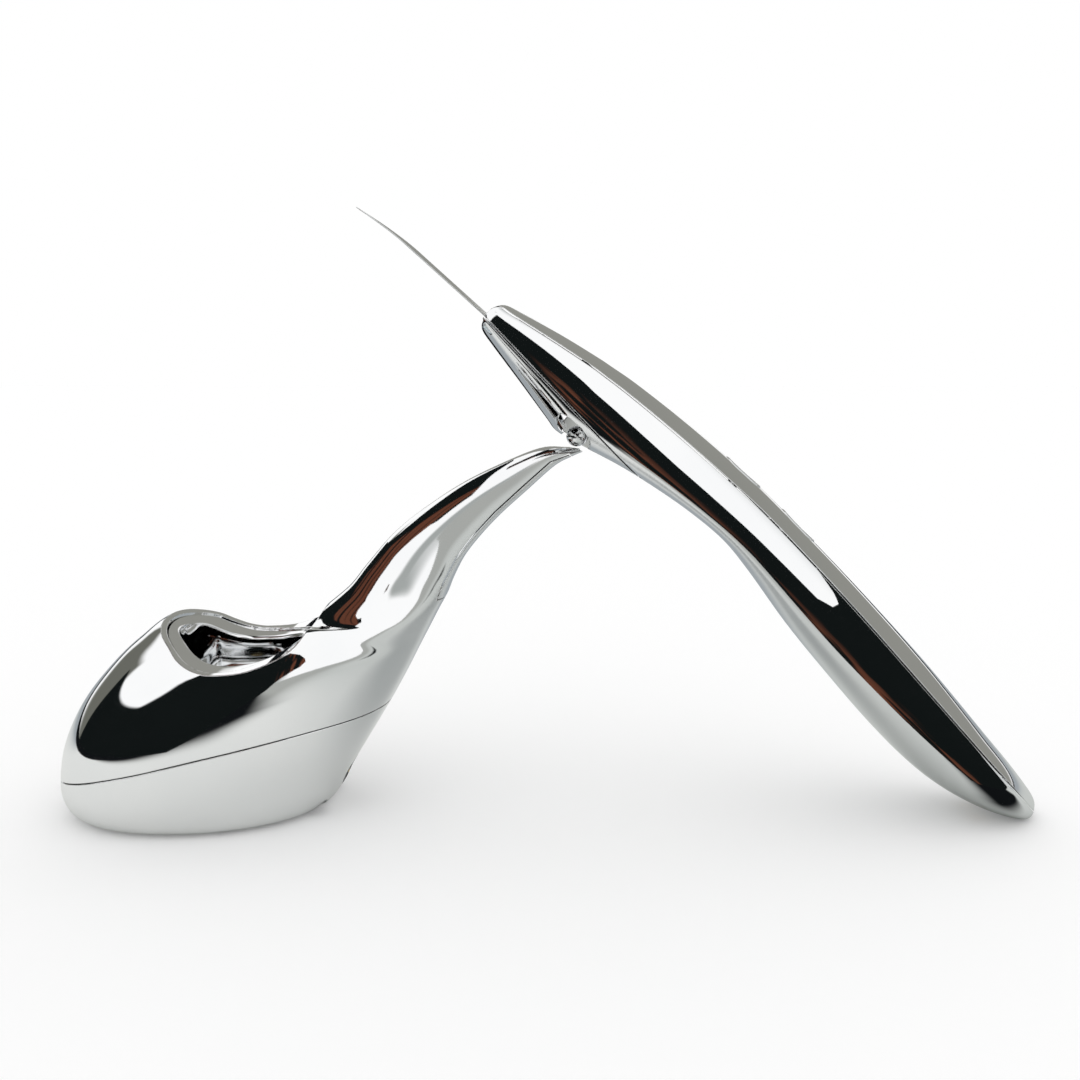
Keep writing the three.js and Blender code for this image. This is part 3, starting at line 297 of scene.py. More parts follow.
def texture(tree, place, size, turn=0, kind="noise", detail=3):  # a texture of a size in mm, turned about y
    mapping = tree.nodes.new("ShaderNodeMapping")
    mapping.vector_type = "TEXTURE"
    mapping.inputs["Rotation"].default_value = (0, math.radians(turn), 0)
    mapping.inputs["Scale"].default_value = [side * mm for side in size]
    tree.links.new(place, mapping.inputs["Vector"])
    pattern, output = textureKinds[kind]
    node = tree.nodes.new("ShaderNodeTex" + pattern)
    node.inputs["Scale"].default_value = 1
    if kind == "bands":
        node.bands_direction = "Z"
        node.inputs["Distortion"].default_value = finishDetail["bandWobble"]
    elif kind == "noise":
        node.inputs["Detail"].default_value = detail
    tree.links.new(mapping.outputs["Vector"], node.inputs["Vector"])
    return node.outputs[output]


def startMaterial(name):  # a new material, its nodes and its Object coordinates
    material = bpy.data.materials.new(name)
    material.use_nodes = True
    tree = material.node_tree
    return material, tree, tree.nodes.new("ShaderNodeTexCoord").outputs["Object"]


def makeFinish(slot, base, second, wear, metal, roughness, patch, grainSize, depth, extras):
    steps, detail = finishSteps, finishDetail
    material, tree, place = startMaterial(slot + "Finish")
    shader = tree.nodes["Principled BSDF"]
    patches = texture(tree, place, (patch,) * 3, detail=detail["patchDetail"])
    grain = texture(tree, place, grainSize, extras.get("turn", 0), extras.get("kind", "noise"))
    color = blend(tree, ramp(tree, patches, *steps["second"]), base, second)
    pointed = tree.nodes.new("ShaderNodeNewGeometry").outputs["Pointiness"]
    edges = ramp(tree, pointed, *steps["edges"])  # worn bright along the edges
    worn = calc(tree, "MULTIPLY", edges, ramp(tree, patches, *steps["worn"]))
    tree.links.new(blend(tree, worn, color, wear), shader.inputs["Base Color"])
    low, high = roughness
    half = (high - low) / 2
    rough = calc(tree, "ADD", ramp(tree, grain, *steps["grainRough"], low, low + half),
                 ramp(tree, patches, *steps["patchRough"], 0, half))
    tree.links.new(rough, shader.inputs["Roughness"])
    shader.inputs["Metallic"].default_value = metal
    for name, value in extras.get("sockets", {}).items():
        shader.inputs[name].default_value = value
    rounding = tree.nodes.new("ShaderNodeBevel")  # softens the light on sharp edges
    rounding.samples = detail["edgeSamples"]
    rounding.inputs["Radius"].default_value = extras.get("edge", detail["edge"]) * mm
    normal = rounding.outputs["Normal"]
    layers = [(grain, depth)]
    if "wave" in extras:  # the slight waviness of plated plastic
        size, waveDepth = extras["wave"]
        layers.append((texture(tree, place, (size,) * 3, detail=0), waveDepth))
    for height, distance in layers:
        bump = tree.nodes.new("ShaderNodeBump")
        bump.inputs["Distance"].default_value = distance * mm
        tree.links.new(height, bump.inputs["Height"])
        tree.links.new(normal, bump.inputs["Normal"])
        normal = bump.outputs["Normal"]
    tree.links.new(normal, shader.inputs["Normal"])
    return material


finishes = {slot: makeFinish(slot, *values) for slot, values in finishValues.items()}
print("finishes made")


def paint(piece, slot):
    piece.data.materials.clear()
    piece.data.materials.append(finishes[slot])


def finishPiece(piece, body, nodes, slot):
    pick(piece)
    bpy.ops.object.shade_smooth_by_angle(angle=math.radians(smoothAngle))
    paint(piece, slot)
    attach(piece, body)
    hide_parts(*nodes)


# Stand
standValues = {
    "length": 130.8, "height": 88.6, "width": 54, "lift": 0.3, "wall": 2, "skew": 0.1, "gap": 0.3, "samples": 240,
    "reach": (-10, 100, 40),  # how far the cutting tools go: down, up and to the sides
    "rows": [  # front x, front z, back x, back z, half width, front power, back power of each ring
        [-0.190, 0, 0.200, 0, 0.77, 2.2, 2.2],
        [-0.228, 0.012, 0.246, 0.012, 0.90, 2.2, 2.2],
        [-0.246, 0.045, 0.272, 0.055, 0.97, 2.2, 2.2],
        [-0.250, 0.098, 0.294, 0.118, 1.0, 2.2, 2.2],
        [-0.238, 0.196, 0.336, 0.222, 1.0, 2.2, 2.2],
        [-0.203, 0.304, 0.372, 0.312, 0.96, 2.2, 2.2],
        [-0.150, 0.402, 0.400, 0.388, 0.90, 2.2, 2.2],
        [-0.095, 0.478, 0.420, 0.446, 0.83, 2.2, 2.2],
        [-0.030, 0.540, 0.434, 0.486, 0.72, 2.1, 2.3],
        [0.090, 0.548, 0.446, 0.520, 0.60, 2.1, 2.6],
        [0.200, 0.528, 0.460, 0.560, 0.50, 2, 3],
        [0.283, 0.604, 0.474, 0.598, 0.42, 2, 3.5],
        [0.329, 0.682, 0.486, 0.642, 0.37, 2, 4],
        [0.375, 0.760, 0.508, 0.704, 0.32, 2, 4],
        [0.427, 0.825, 0.538, 0.762, 0.28, 2, 4],
        [0.500, 0.898, 0.576, 0.822, 0.24, 2, 4],
        [0.573, 0.953, 0.622, 0.884, 0.205, 2, 4],
        [0.645, 0.996, 0.672, 0.950, 0.17, 2, 3.5],
        [0.690, 0.999, 0.702, 0.974, 0.13, 2, 3],
        [0.716, 0.996, 0.721, 0.986, 0.075, 2, 2.4],
    ],
    "rim": [[-0.130, 0.66], [-0.062, 0.555], [-0.034, 0.522], [0, 0.494], [0.023, 0.468], [0.046, 0.450],
            [0.069, 0.441], [0.092, 0.439], [0.138, 0.445], [0.183, 0.466], [0.222, 0.497], [0.244, 0.540],
            [0.262, 0.600], [0.300, 0.760]],
    "parting": [[-0.34, 0.010], [-0.277, 0.056], [-0.226, 0.106], [-0.132, 0.150], [-0.038, 0.187], [0.044, 0.218],
                [0.120, 0.243], [0.193, 0.265], [0.262, 0.283], [0.329, 0.296], [0.375, 0.306], [0.460, 0.325],
                [0.80, 0.36]],
    "mouth": {"centre": 11, "nose": 16, "neck": 18.4, "half": 21.4, "neckPower": 1.5},
    "columns": [[-21, 0], [30.5, 7.5], [30.5, -7.5]], "columnRadius": 2.8,
    "tray": {"length": 34.6, "width": 24.6, "corner": 3.1, "low": 3.7, "high": 7.3},  # room for the ballast plate
    "neckCover": {"rows": (11, 19), "depth": 1.5, "share": 1 / 3, "out": 5, "side": 27},
}


def standRows(cuts):
    v = standValues
    rows = []
    for fx, fz, bx, bz, half, front, back in smoothRows(v["rows"], cuts):
        height = v["height"] - v["lift"]
        rows.append({"front": Vector((fx * v["length"], v["lift"] + fz * height)),
                     "back": Vector((bx * v["length"], v["lift"] + bz * height)),
                     "half": half * v["width"] / 2, "powers": (front, back)})
    return rows


def standRing(row, inset, count):  # evenly spaced points round one section
    v = standValues
    middle = (row["front"] + row["back"]) / 2
    reach = row["back"] - middle
    length = reach.length - inset
    reach = reach.normalized()
    dense = []
    for k in range(v["samples"] + 1):
        angle = k / v["samples"] * math.pi
        along, across = math.cos(angle), math.sin(angle)
        power = row["powers"][1] if along > 0 else row["powers"][0]
        u = math.copysign(abs(along) ** (2 / power), along)
        w = abs(across) ** (2 / power)
        dense.append((u * length, w * (row["half"] - inset) * (1 - v["skew"] * u)))
    walked = [0]
    for (a, b), (c, d) in zip(dense, dense[1:]):
        walked.append(walked[-1] + math.hypot(c - a, d - b))
    half, place = [], 0
    for k in range(count // 2 + 1):
        wanted = walked[-1] * k / (count // 2)
        while place < len(walked) - 2 and walked[place + 1] < wanted:
            place += 1
        share = (wanted - walked[place]) / max(walked[place + 1] - walked[place], 1e-9)
        (a, b), (c, d) = dense[place], dense[place + 1]
        half.append((a + (c - a) * share, b + (d - b) * share))
    points = [(middle.x + reach.x * a, b, middle.y + reach.y * a) for a, b in half]
    return points + [(x, -y, z) for x, y, z in reversed(points[1:-1])]


def standLine(table):
    return [[x * standValues["length"], z * standValues["height"]] for x, z in smoothRows(table, 4)]


def movedLine(line, distance):  # a copy moved square to itself, down and to the right
    result = []
    for i, (x, z) in enumerate(line):
        (x0, z0), (x1, z1) = line[max(i - 1, 0)], line[min(i + 1, len(line) - 1)]
        length = math.hypot(x1 - x0, z1 - z0)
        result.append([x + (z1 - z0) / length * distance, z - (x1 - x0) / length * distance])
    return result


def lineSlab(name, line, lift, above=False):  # all that lies below a line, or above it
    low, high, side = standValues["reach"]
    far = high if above else low
    points = [[x, z + lift] for x, z in line]
    return slabPiece(name, points + [[points[-1][0], far], [points[0][0], far]], -side, side, side=True)


def mouthPlan(inset, count=96):
    v = standValues["mouth"]
    points = []
    for angle in fullTurn(count):
        share, across = math.cos(angle), math.sin(angle)
        reach, power = (v["neck"], v["neckPower"]) if share > 0 else (v["nose"], 1)
        points.append((v["centre"] + share * (reach - inset),
                       math.copysign(abs(across) ** power, across) * (v["half"] - inset)))
    return points


rimLine = standLine(standValues["rim"])
partingLine = standLine(standValues["parting"])


def standSkin(name):
    return loftPiece(name, [standRing(row, 0, 128) for row in standRows(6)])


def standHollow(name, *walls):  # the hollow inside the walls, below the rim and round the columns
    v = standValues
    low, high = v["reach"][:2]
    rows = [row for row in standRows(3) if (row["front"] - row["back"]).length > 4 * v["wall"]
            and row["half"] > 2 * v["wall"] and row["front"].y > v["wall"]]
    hollow = loftPiece(name, [standRing(row, v["wall"], 64) for row in rows])
    combine(hollow, lineSlab("deckCut", movedLine(rimLine, v["wall"]), 0), "INTERSECT")
    for wall in [*walls, *(rodPiece("column", v["columnRadius"], low, high, x, y) for x, y in v["columns"])]:
        combine(hollow, wall)
    return hollow


def neckCoverSlab(name, grow):
    v = standValues["neckCover"]
    rows = standRows(1)[slice(*v["rows"])]
    inside, outside = [], []
    for i, row in enumerate(rows):
        inward = (row["front"] - row["back"]).normalized()
        end = -grow if i == 0 else grow if i == len(rows) - 1 else 0
        slide = Vector((-inward.y, inward.x)) * -end
        depth = min(v["depth"], (row["front"] - row["back"]).length * v["share"]) + grow
        near, far = row["back"] + inward * depth + slide, row["back"] - inward * v["out"] + slide
        inside.append((near.x, near.y))
        outside.insert(0, (far.x, far.y))
    return slabPiece(name, inside + outside, -v["side"], v["side"], side=True)


def makeStandShell():
    v = standValues
    low, high, side = v["reach"]
    shell = standSkin("standShell")
    mouthWall = slabPiece("mouthWall", mouthPlan(-v["wall"]), low, high)
    combine(shell, standHollow("standHollow", mouthWall))
    combine(shell, lineSlab("partingCut", partingLine, v["gap"] / 2, above=True), "INTERSECT")
    corners = [[rimLine[-1][0], high], [-high, high], [-high, rimLine[0][1]]]
    combine(shell, slabPiece("rimCut", rimLine + corners, -side, side, side=True))
    combine(shell, slabPiece("bore", mouthPlan(0), low, high))
    combine(shell, neckCoverSlab("coverCut", v["gap"] / 2))
    finishPiece(shell, "stand", ["stand_shell"], "chrome")


def makeNeckCover():
    cover = combine(standSkin("neckCover"), neckCoverSlab("coverSlab", -standValues["gap"] / 2), "INTERSECT")
    finishPiece(cover, "stand", ["neck_cover"], "chrome")


def makeBaseShell():
    v, tray, pad, screw, jack = standValues, standValues["tray"], padValues, screwValues, jackValues
    low, high = v["reach"][:2]
    shell = combine(standSkin("baseShell"), standHollow("baseHollow"))
    combine(shell, lineSlab("partingCut", partingLine, -v["gap"] / 2), "INTERSECT")
    trayPlan = roundedPlan(tray["length"], tray["width"], tray["corner"], 0)
    combine(shell, slabPiece("ballastTray", trayPlan, tray["low"], tray["high"]))
    recess = ovalPlan(pad["length"] + 2 * clearance, pad["width"] + 2 * clearance, 0)
    combine(shell, slabPiece("padRecess", recess, low, pad["thickness"] + clearance))
    headTop = screw["seat"] + screw["headHeight"] + clearance
    for x, y in v["columns"]:
        combine(shell, rodPiece("headHole", screw["head"] + clearance, low, headTop, x, y))
        combine(shell, rodPiece("shaftHole", screw["shaft"] + clearance, low, high, x, y))
    start, end = jack["x"] - jack["length"] - clearance, jack["x"] + jack["past"]
    combine(shell, lyingRod("jackHole", jack["radius"] + clearance, start, end, jack["height"]))
    finishPiece(shell, "stand", ["base_shell"], "chrome")


cupValues = {"centre": 12, "length": 30, "width": 27, "floor": 15, "wall": 1.5, "drop": 0.5, "flange": 2.2,
             "lipRound": 0.8, "floorRound": 4, "floorInsets": (7, 10), "edgeRound": 0.12, "edgeShare": 0.006,
             "lipShares": (0.25, 0.5, 0.75), "pins": [-3.5, 3.5], "pinHole": 1.5, "count": 144, "steps": 8}


def makeCupLiner():
    v = cupValues
    edge = mouthPlan(clearance, v["count"])

    def oval(inset):
        return ovalPlan(v["length"] - 2 * inset, v["width"] - 2 * inset, v["centre"], v["count"])

    def level(plan, height):  # a ring at one height
        return [(x, y, height) for x, y in plan]

    def under(plan, drop):  # a ring that follows the rim
        return [(x, y, readLine(rimLine, x) - v["drop"] - drop) for x, y in plan]

    tube = oval(-v["wall"])
    rings = [level(tube, v["floor"] - v["wall"]), under(tube, v["flange"]), under(edge, v["flange"]),
             under(edge, v["edgeRound"])]
    rings.append(under([(x + (v["centre"] - x) * v["edgeShare"], y * (1 - v["edgeShare"])) for x, y in edge], 0))
    lip = oval(-v["lipRound"])
    for share in v["lipShares"]:
        rings.append(under([(a + (c - a) * share, b + (d - b) * share) for (a, b), (c, d) in zip(edge, lip)], 0))
    for inward, down in quarterTurn(6):
        rings.append(under(oval(-v["lipRound"] * down), v["lipRound"] * inward))
    wallTop = rings[-1]
    low = v["floor"] + v["floorRound"]
    for k in range(1, v["steps"] + 1):
        rings.append([(x, y, z + (low - z) * k / v["steps"]) for x, y, z in wallTop])
    for inward, down in quarterTurn(v["steps"])[1:]:
        rings.append(level(oval(v["floorRound"] * inward), v["floor"] + v["floorRound"] * down))
    for inset in v["floorInsets"]:
        rings.append(level(oval(inset), v["floor"]))
    liner = loftPiece("cupLiner", rings)
    for y in v["pins"]:
        combine(liner, rodPiece("pinHole", v["pinHole"], 0, low, v["centre"], y))
    finishPiece(liner, "stand", ["cup_liner"], "chrome")


padValues = {"length": 40, "width": 26, "thickness": 1.4, "round": 0.4, "steps": 4}


def makeFootPad():
    v = padValues
    under = [(inward, v["round"] * down) for inward, down in reversed(quarterTurn(v["steps"]))]
    over = [(inward, v["thickness"] - v["round"] * down) for inward, down in quarterTurn(v["steps"])]
    rings = []
    for inward, height in under + over:
        inset = v["round"] * inward
        plan = ovalPlan(v["length"] - 2 * inset, v["width"] - 2 * inset, 0)
        rings.append([(x, y, height) for x, y in plan])
    finishPiece(loftPiece("footPad", rings), "stand", ["foot_pad"], "rubber")


screwValues = {"shaft": 1.3, "head": 2.2, "headHeight": 1.5, "seat": 4.3, "bite": 6,
               "headEdge": [(-0.4, 0), (-0.1, 0.12), (0, 0.4)],  # from the rim of the head's underside
               "pitch": 0.6, "thread": [(-0.25, 0), (0, 0.25), (0, 0.33), (-0.25, 0.6)], "plainEnd": 0.9,
               "tip": [(-0.25, -0.3), (-0.6, 0)], "recess": (2.8, 0.7, 0.9)}  # length, width and depth


def makeBaseScrews():
    v = screwValues
    length, width, depth = v["recess"]
    for number, (x, y) in enumerate(standValues["columns"], 1):
        end = readLine(partingLine, x) + v["bite"] - v["seat"]
        profile = [(v["head"] + out, up) for out, up in v["headEdge"]]
        profile += [(v["head"], v["headHeight"]), (v["shaft"], v["headHeight"])]
        height = v["headHeight"] + v["pitch"]
        while height < end - v["plainEnd"]:
            profile += [(v["shaft"] + out, height + up) for out, up in v["thread"]]
            height += v["pitch"]
        profile += [(v["shaft"] + out, end + up) for out, up in v["tip"]]
        screw = turnedPiece("baseScrew%d" % number, profile, x, y, v["seat"], 32)
        for size in ((length, width, 2 * depth), (width, length, 2 * depth)):
            combine(screw, blockPiece("recess", size, x, y, v["seat"] - depth))
        finishPiece(screw, "stand", ["base_screw_%d" % number], "dark_steel")


jackValues = {"radius": 3.6, "bore": 2.75, "length": 10, "depth": 7.5, "height": 8.4, "x": 38.2, "past": 10,
              "pinRadius": 0.9, "pinTip": 0.55, "pinSink": 1.2, "pinGap": 0.1}


def makeJack():
    v = jackValues
    past = v["x"] + v["past"]
    barrel = lyingRod("powerJack", v["radius"], v["x"] - v["length"], past, v["height"], 64)
    combine(barrel, standSkin("skin"), "INTERSECT")
    combine(barrel, lyingRod("jackBore", v["bore"], v["x"] - v["depth"], past, v["height"]))
    finishPiece(barrel, "stand", ["power_jack"], "black_plastic")
    start, radius = v["x"] - v["depth"] + v["pinGap"], v["pinRadius"]
    tip = roundTip(radius, v["x"] - v["pinSink"] - start, v["pinTip"])
    pin = turnedPiece("jackPin", [(radius, 0), *tip], 0, 0, 0, 32)
    placePiece(pin, (0, math.pi / 2, 0), (start, 0, v["height"]))
    finishPiece(pin, "stand", ["jack_pin"], "brass")


pinValues = {"radius": 1.2, "barrelOuter": 2, "barrelInner": 1.5, "barrelHeight": 2.8, "boardTop": 10.1,
             "base": 11.4, "length": 5, "tip": 0.6, "edge": 0.15, "past": 1}


def makeChargePins():
    v, x = pinValues, cupValues["centre"]
    outer, high, edge = v["barrelOuter"], v["barrelHeight"], v["edge"]
    for number, y in enumerate(cupValues["pins"], 1):
        profile = [(v["radius"] - edge, 0), (v["radius"], edge), *roundTip(v["radius"], v["length"], v["tip"])]
        pin = turnedPiece("chargePin%d" % number, profile, x, y, v["base"])
        finishPiece(pin, "charge_pin_%d" % number, ["charge_pin_%d" % number], "brass")
        profile = [(outer, 0), (outer, high - edge), (outer - edge, high)]
        barrel = turnedPiece("pinBarrel%d" % number, profile, x, y, v["boardTop"])
        low, top = v["boardTop"] - v["past"], v["boardTop"] + high + v["past"]
        combine(barrel, rodPiece("barrelBore", v["barrelInner"], low, top, x, y))
        finishPiece(barrel, "stand", ["pin_barrel_%d" % number], "brass")


makeStandShell()
makeNeckCover()
makeBaseShell()
makeCupLiner()
makeFootPad()
makeBaseScrews()
makeJack()
makeChargePins()
print("stand modelled")

# Wand, in its own frame: x from head to tail, z square to the top face
wandValues = {
    "length": 176, "depth": 20, "width": 32, "wall": 1.6, "gap": 0.3, "crown": 0.87, "bulge": 0.35,
    "bellyPower": 2.2, "lean": 41.6929, "origin": (73.04843, 0, 118.83549), "hollowRows": (2, 19),
    "reach": {"end": 220, "high": 40, "side": 32},  # how far the cutting tools go past the wand
    "rows": [  # x, top, seam, widest line, bottom, half width
        [0, 0.12, 0.08, -0.035, -0.135, 0.69],
        [0.007, 0.20, 0.15, -0.045, -0.195, 0.75],
        [0.028, 0.255, 0.18, -0.06, -0.24, 0.775],
        [0.085, 0.375, 0.265, -0.085, -0.34, 0.825],
        [0.142, 0.47, 0.34, -0.11, -0.445, 0.865],
        [0.165, 0.50, 0.36, -0.12, -0.48, 0.88],
        [0.199, 0.54, 0.385, -0.125, -0.42, 0.895],
        [0.256, 0.58, 0.41, -0.10, -0.29, 0.92],
        [0.313, 0.605, 0.425, -0.055, -0.20, 0.925],
        [0.369, 0.615, 0.43, -0.025, -0.14, 0.925],
        [0.426, 0.61, 0.425, -0.02, -0.125, 0.92],
        [0.483, 0.585, 0.395, -0.06, -0.20, 0.925],
        [0.568, 0.54, 0.335, -0.14, -0.36, 0.955],
        [0.653, 0.48, 0.26, -0.19, -0.475, 0.985],
        [0.739, 0.405, 0.175, -0.215, -0.57, 1],
        [0.813, 0.32, 0.105, -0.22, -0.61, 0.98],
        [0.869, 0.25, 0.05, -0.215, -0.58, 0.925],
        [0.920, 0.19, 0.01, -0.20, -0.48, 0.805],
        [0.960, 0.13, -0.02, -0.165, -0.35, 0.625],
        [0.986, 0.075, -0.04, -0.13, -0.22, 0.41],
        [0.998, 0, -0.055, -0.09, -0.12, 0.14],
    ],
    "headSeam": [[-0.04, -0.02], [0.285, -0.225], [0.30, -0.60], [-0.04, -0.60]],
    "notch": [[0.172, -0.60], [0.1725, -0.385], [0.155, -0.33], [0.152, -0.27], [0.165, -0.235], [0.185, -0.235],
              [0.204, -0.275], [0.211, -0.345], [0.213, -0.60]],
    "groove": {"line": [[0.071, -0.215], [0.152, -0.325]], "half": 0.7, "depth": 1, "rows": (3, 25)},
    "blade": {"reach": 37.3, "width": 20, "thickness": 0.5, "ground": 0.26, "drop": 0.7, "root": 12, "bend": 24,
              "tipDrop": 1.3, "tipPower": 1.6, "corner": 3, "edge": 2.2, "edgeShare": 0.3, "steps": 90},
    "web": {"thickness": 2.4, "low": -8.6, "high": -4},
    "seal": {"length": 2.6, "width": 2, "rim": 1.2, "fit": 0.1, "round": 0.4, "roundSteps": 4},
    "ball": {"radius": 2.4, "x": 33.3995, "drop": 7.5, "stem": 0.9, "stemLength": 4.6},
    "buttons": {"power": 67.936, "mode": 86.064},
    "button": {"length": 11, "width": 8, "corner": 3.7, "proud": 0.25, "skirt": 0.8, "flange": 0.7, "round": 0.55,
               "dish": 0.18, "dishShares": (0.85, 0.7, 0.5, 0.3, 0.12), "stem": 1.4, "stemLow": 7.6},
    "light": {"x": 96.008, "radius": 0.9, "collar": 1.5, "length": 5, "fit": 0.1},
    "contacts": {"x": 164.03, "spacing": 7, "radius": 1.5, "stem": 0.7, "stemLength": 3, "stemSink": 0.5},
}


def wandRows(cuts):
    v = wandValues
    rows = []
    for x, top, seam, wide, bottom, half in smoothRows(v["rows"], cuts):
        rows.append({"x": x * v["length"], "top": top * v["depth"], "seam": seam * v["depth"],
                     "wide": wide * v["depth"], "bottom": bottom * v["depth"], "half": half * v["width"] / 2})
    return rows


def wandRing(row, inset, crownCount=24, sideCount=10, bellyCount=48):
    v = wandValues
    half = row["half"] - inset
    crown, top = v["crown"] * half, row["top"] - inset
    bend = row["seam"] - v["bulge"] * (row["seam"] - row["wide"])
    points = []
    for k in range(crownCount):
        share = 1 - 2 * k / crownCount
        points.append((share * crown, row["seam"] + (top - row["seam"]) * (1 - share * share)))
    side = []
    for k in range(sideCount + 1):
        s = k / sideCount
        side.append(((1 - s) ** 2 * crown + (1 - (1 - s) ** 2) * half,
                     (1 - s) ** 2 * row["seam"] + 2 * s * (1 - s) * bend + s * s * row["wide"]))
    points += [(-y, z) for y, z in side]
    for k in range(1, bellyCount):
        angle = k / bellyCount * math.pi
        across, power = math.cos(angle), 2 / v["bellyPower"]
        depth = (row["wide"] - row["bottom"] - inset) * math.sin(angle) ** power
        points.append((-math.copysign(abs(across) ** power, across) * half, row["wide"] - depth))
    points += list(reversed(side[1:]))
    return [(row["x"], y, z) for y, z in points]


def coarseRing(row, inset):
    return wandRing(row, inset, 12, 5, 24)


def wandSkin(name):
    return loftPiece(name, [wandRing(row, 0) for row in wandRows(5)])


def wandHollow(name):
    rows = wandRows(1)[slice(*wandValues["hollowRows"])]
    smooth = smoothRows([list(row.values()) for row in rows], 3)
    return loftPiece(name, [coarseRing(dict(zip(rows[0], row)), wandValues["wall"]) for row in smooth])


def wandSlab(name, points):
    side = wandValues["reach"]["side"]
    return slabPiece(name, points, -side, side, side=True)


def wandLine(shares):
    return [(x * wandValues["length"], z * wandValues["depth"]) for x, z in shares]


def aboveSeam(name, lift):
    line = [(row["x"], row["seam"] + lift) for row in wandRows(5)]
    end, high = wandValues["reach"]["end"], wandValues["reach"]["high"]
    return wandSlab(name, [(-high, line[0][1]), *line, (end, line[-1][1]), (end, high), (-high, high)])


def headRegion(name, grow):
    line = wandLine(wandValues["headSeam"])
    low = min(z for x, z in line)
    return wandSlab(name, [(x + (grow if x > 0 else -grow), z + (grow if z > low else -grow)) for x, z in line])


def bladeSlot():
    blade = wandValues["blade"]
    size = (2 * blade["root"], blade["width"] + 2 * clearance, blade["thickness"] + 2 * clearance)
    return blockPiece("slot", size, 0, 0, -blade["drop"] - blade["thickness"] / 2 - clearance)


def sealBlock(name, grow):
    blade, seal = wandValues["blade"], wandValues["seal"]
    size = (seal["length"] + 2 * grow, blade["width"] + 2 * clearance + 2 * seal["rim"] + 2 * grow,
            blade["thickness"] + 2 * seal["width"] + 2 * grow)
    return blockPiece(name, size, seal["length"], 0, -blade["drop"] - blade["thickness"] / 2 - seal["width"] - grow)


def buttonPlan(x, grow):
    v = wandValues["button"]
    return roundedPlan(v["length"] + 2 * grow, v["width"] + 2 * grow, v["corner"] + grow, x, 12)


def finishWand(piece, nodes, slot, body="wand"):  # turned from the wand's own frame to where it leans
    placePiece(piece, (0, math.radians(wandValues["lean"]), 0), wandValues["origin"])
    finishPiece(piece, body, nodes, slot)


def cutHead(piece):  # room for the blade and its seal
    combine(piece, bladeSlot())
    combine(piece, sealBlock("sealSeat", 0))


def makeTopCover():
    v, high = wandValues, wandValues["reach"]["high"]
    cover = combine(wandSkin("topCover"), wandHollow("coverHollow"))
    combine(cover, aboveSeam("seamCut", v["gap"] / 2), "INTERSECT")
    cutHead(cover)
    for x in v["buttons"].values():
        combine(cover, slabPiece("buttonHole", buttonPlan(x, clearance), 0, high))
    combine(cover, rodPiece("lightHole", v["light"]["radius"] + v["gap"] / 2, 0, high, v["light"]["x"], 0))
    finishWand(cover, ["top_cover"], "chrome")


def makeBodyShell():
    v = wandValues
    shell = combine(wandSkin("bodyShell"), wandHollow("bodyHollow"))
    combine(shell, aboveSeam("seamCut", -v["gap"] / 2))
    combine(shell, headRegion("headCut", v["gap"] / 2))
    cutHead(shell)
    contacts, low = v["contacts"], -v["reach"]["high"]
    for side in (-0.5, 0.5):
        y = side * contacts["spacing"]
        combine(shell, rodPiece("contactHole", contacts["radius"] + clearance, low, 0, contacts["x"], y))
    finishWand(shell, ["body_shell"], "chrome")


def makeHeadCover():
    v, high = wandValues, wandValues["reach"]["high"]
    web, ball, groove = v["web"], v["ball"], v["groove"]
    notch = wandLine(v["notch"])
    start, end, roof = notch[0][0] - v["wall"], notch[-1][0] + v["wall"], max(z for x, z in notch) + v["wall"]
    hollow = wandHollow("headHollow")
    combine(hollow, wandSlab("notchWall", [(start, -high), (start, roof), (end, roof), (end, -high)]))
    cover = combine(wandSkin("headCover"), hollow)
    combine(cover, headRegion("headSlab", -v["gap"] / 2), "INTERSECT")
    notchTool = wandSlab("notch", notch)  # leaves a thin web in the middle, behind the ball
    size = (2 * v["wall"] + end - start, web["thickness"], web["high"] - web["low"])
    combine(notchTool, blockPiece("web", size, ball["x"], 0, web["low"]))
    combine(cover, notchTool)
    combine(cover, spherePiece("ballRoom", ball["radius"] + v["gap"], ball["x"], -ball["drop"]))
    cutHead(cover)
    combine(cover, rodPiece("stemHole", ball["stem"] + clearance, -high, high, ball["x"], 0))
    (x0, z0), (x1, z1) = wandLine(groove["line"])
    grooves = wandSlab("grooves", [(x0, z0), (x1, z1 - groove["half"]), (x1, z1 + groove["half"])])
    rows = wandRows(3)[slice(*groove["rows"])]
    combine(grooves, loftPiece("grooveCore", [coarseRing(row, groove["depth"]) for row in rows]))
    combine(cover, grooves)
    finishWand(cover, ["head_cover"], "chrome")


def makeRestBall():
    v = wandValues["ball"]
    ball = spherePiece("restBall", v["radius"], v["x"], -v["drop"])
    combine(ball, rodPiece("stem", v["stem"], -v["drop"], -v["drop"] + v["stemLength"], v["x"], 0), "UNION")
    finishWand(ball, ["rest_ball"], "chrome")


def bladeSection(x, centre, half, thickness, count=10):  # a thin section with round edges
    edge = min(thickness / 2, half)
    points = []
    for side in (1, -1):
        for k in range(count + 1):
            angle = (k / count - 0.5) * math.pi
            points.append((x, side * (half - edge + edge * math.cos(angle)),
                           centre + side * thickness / 2 * math.sin(angle)))
    return points


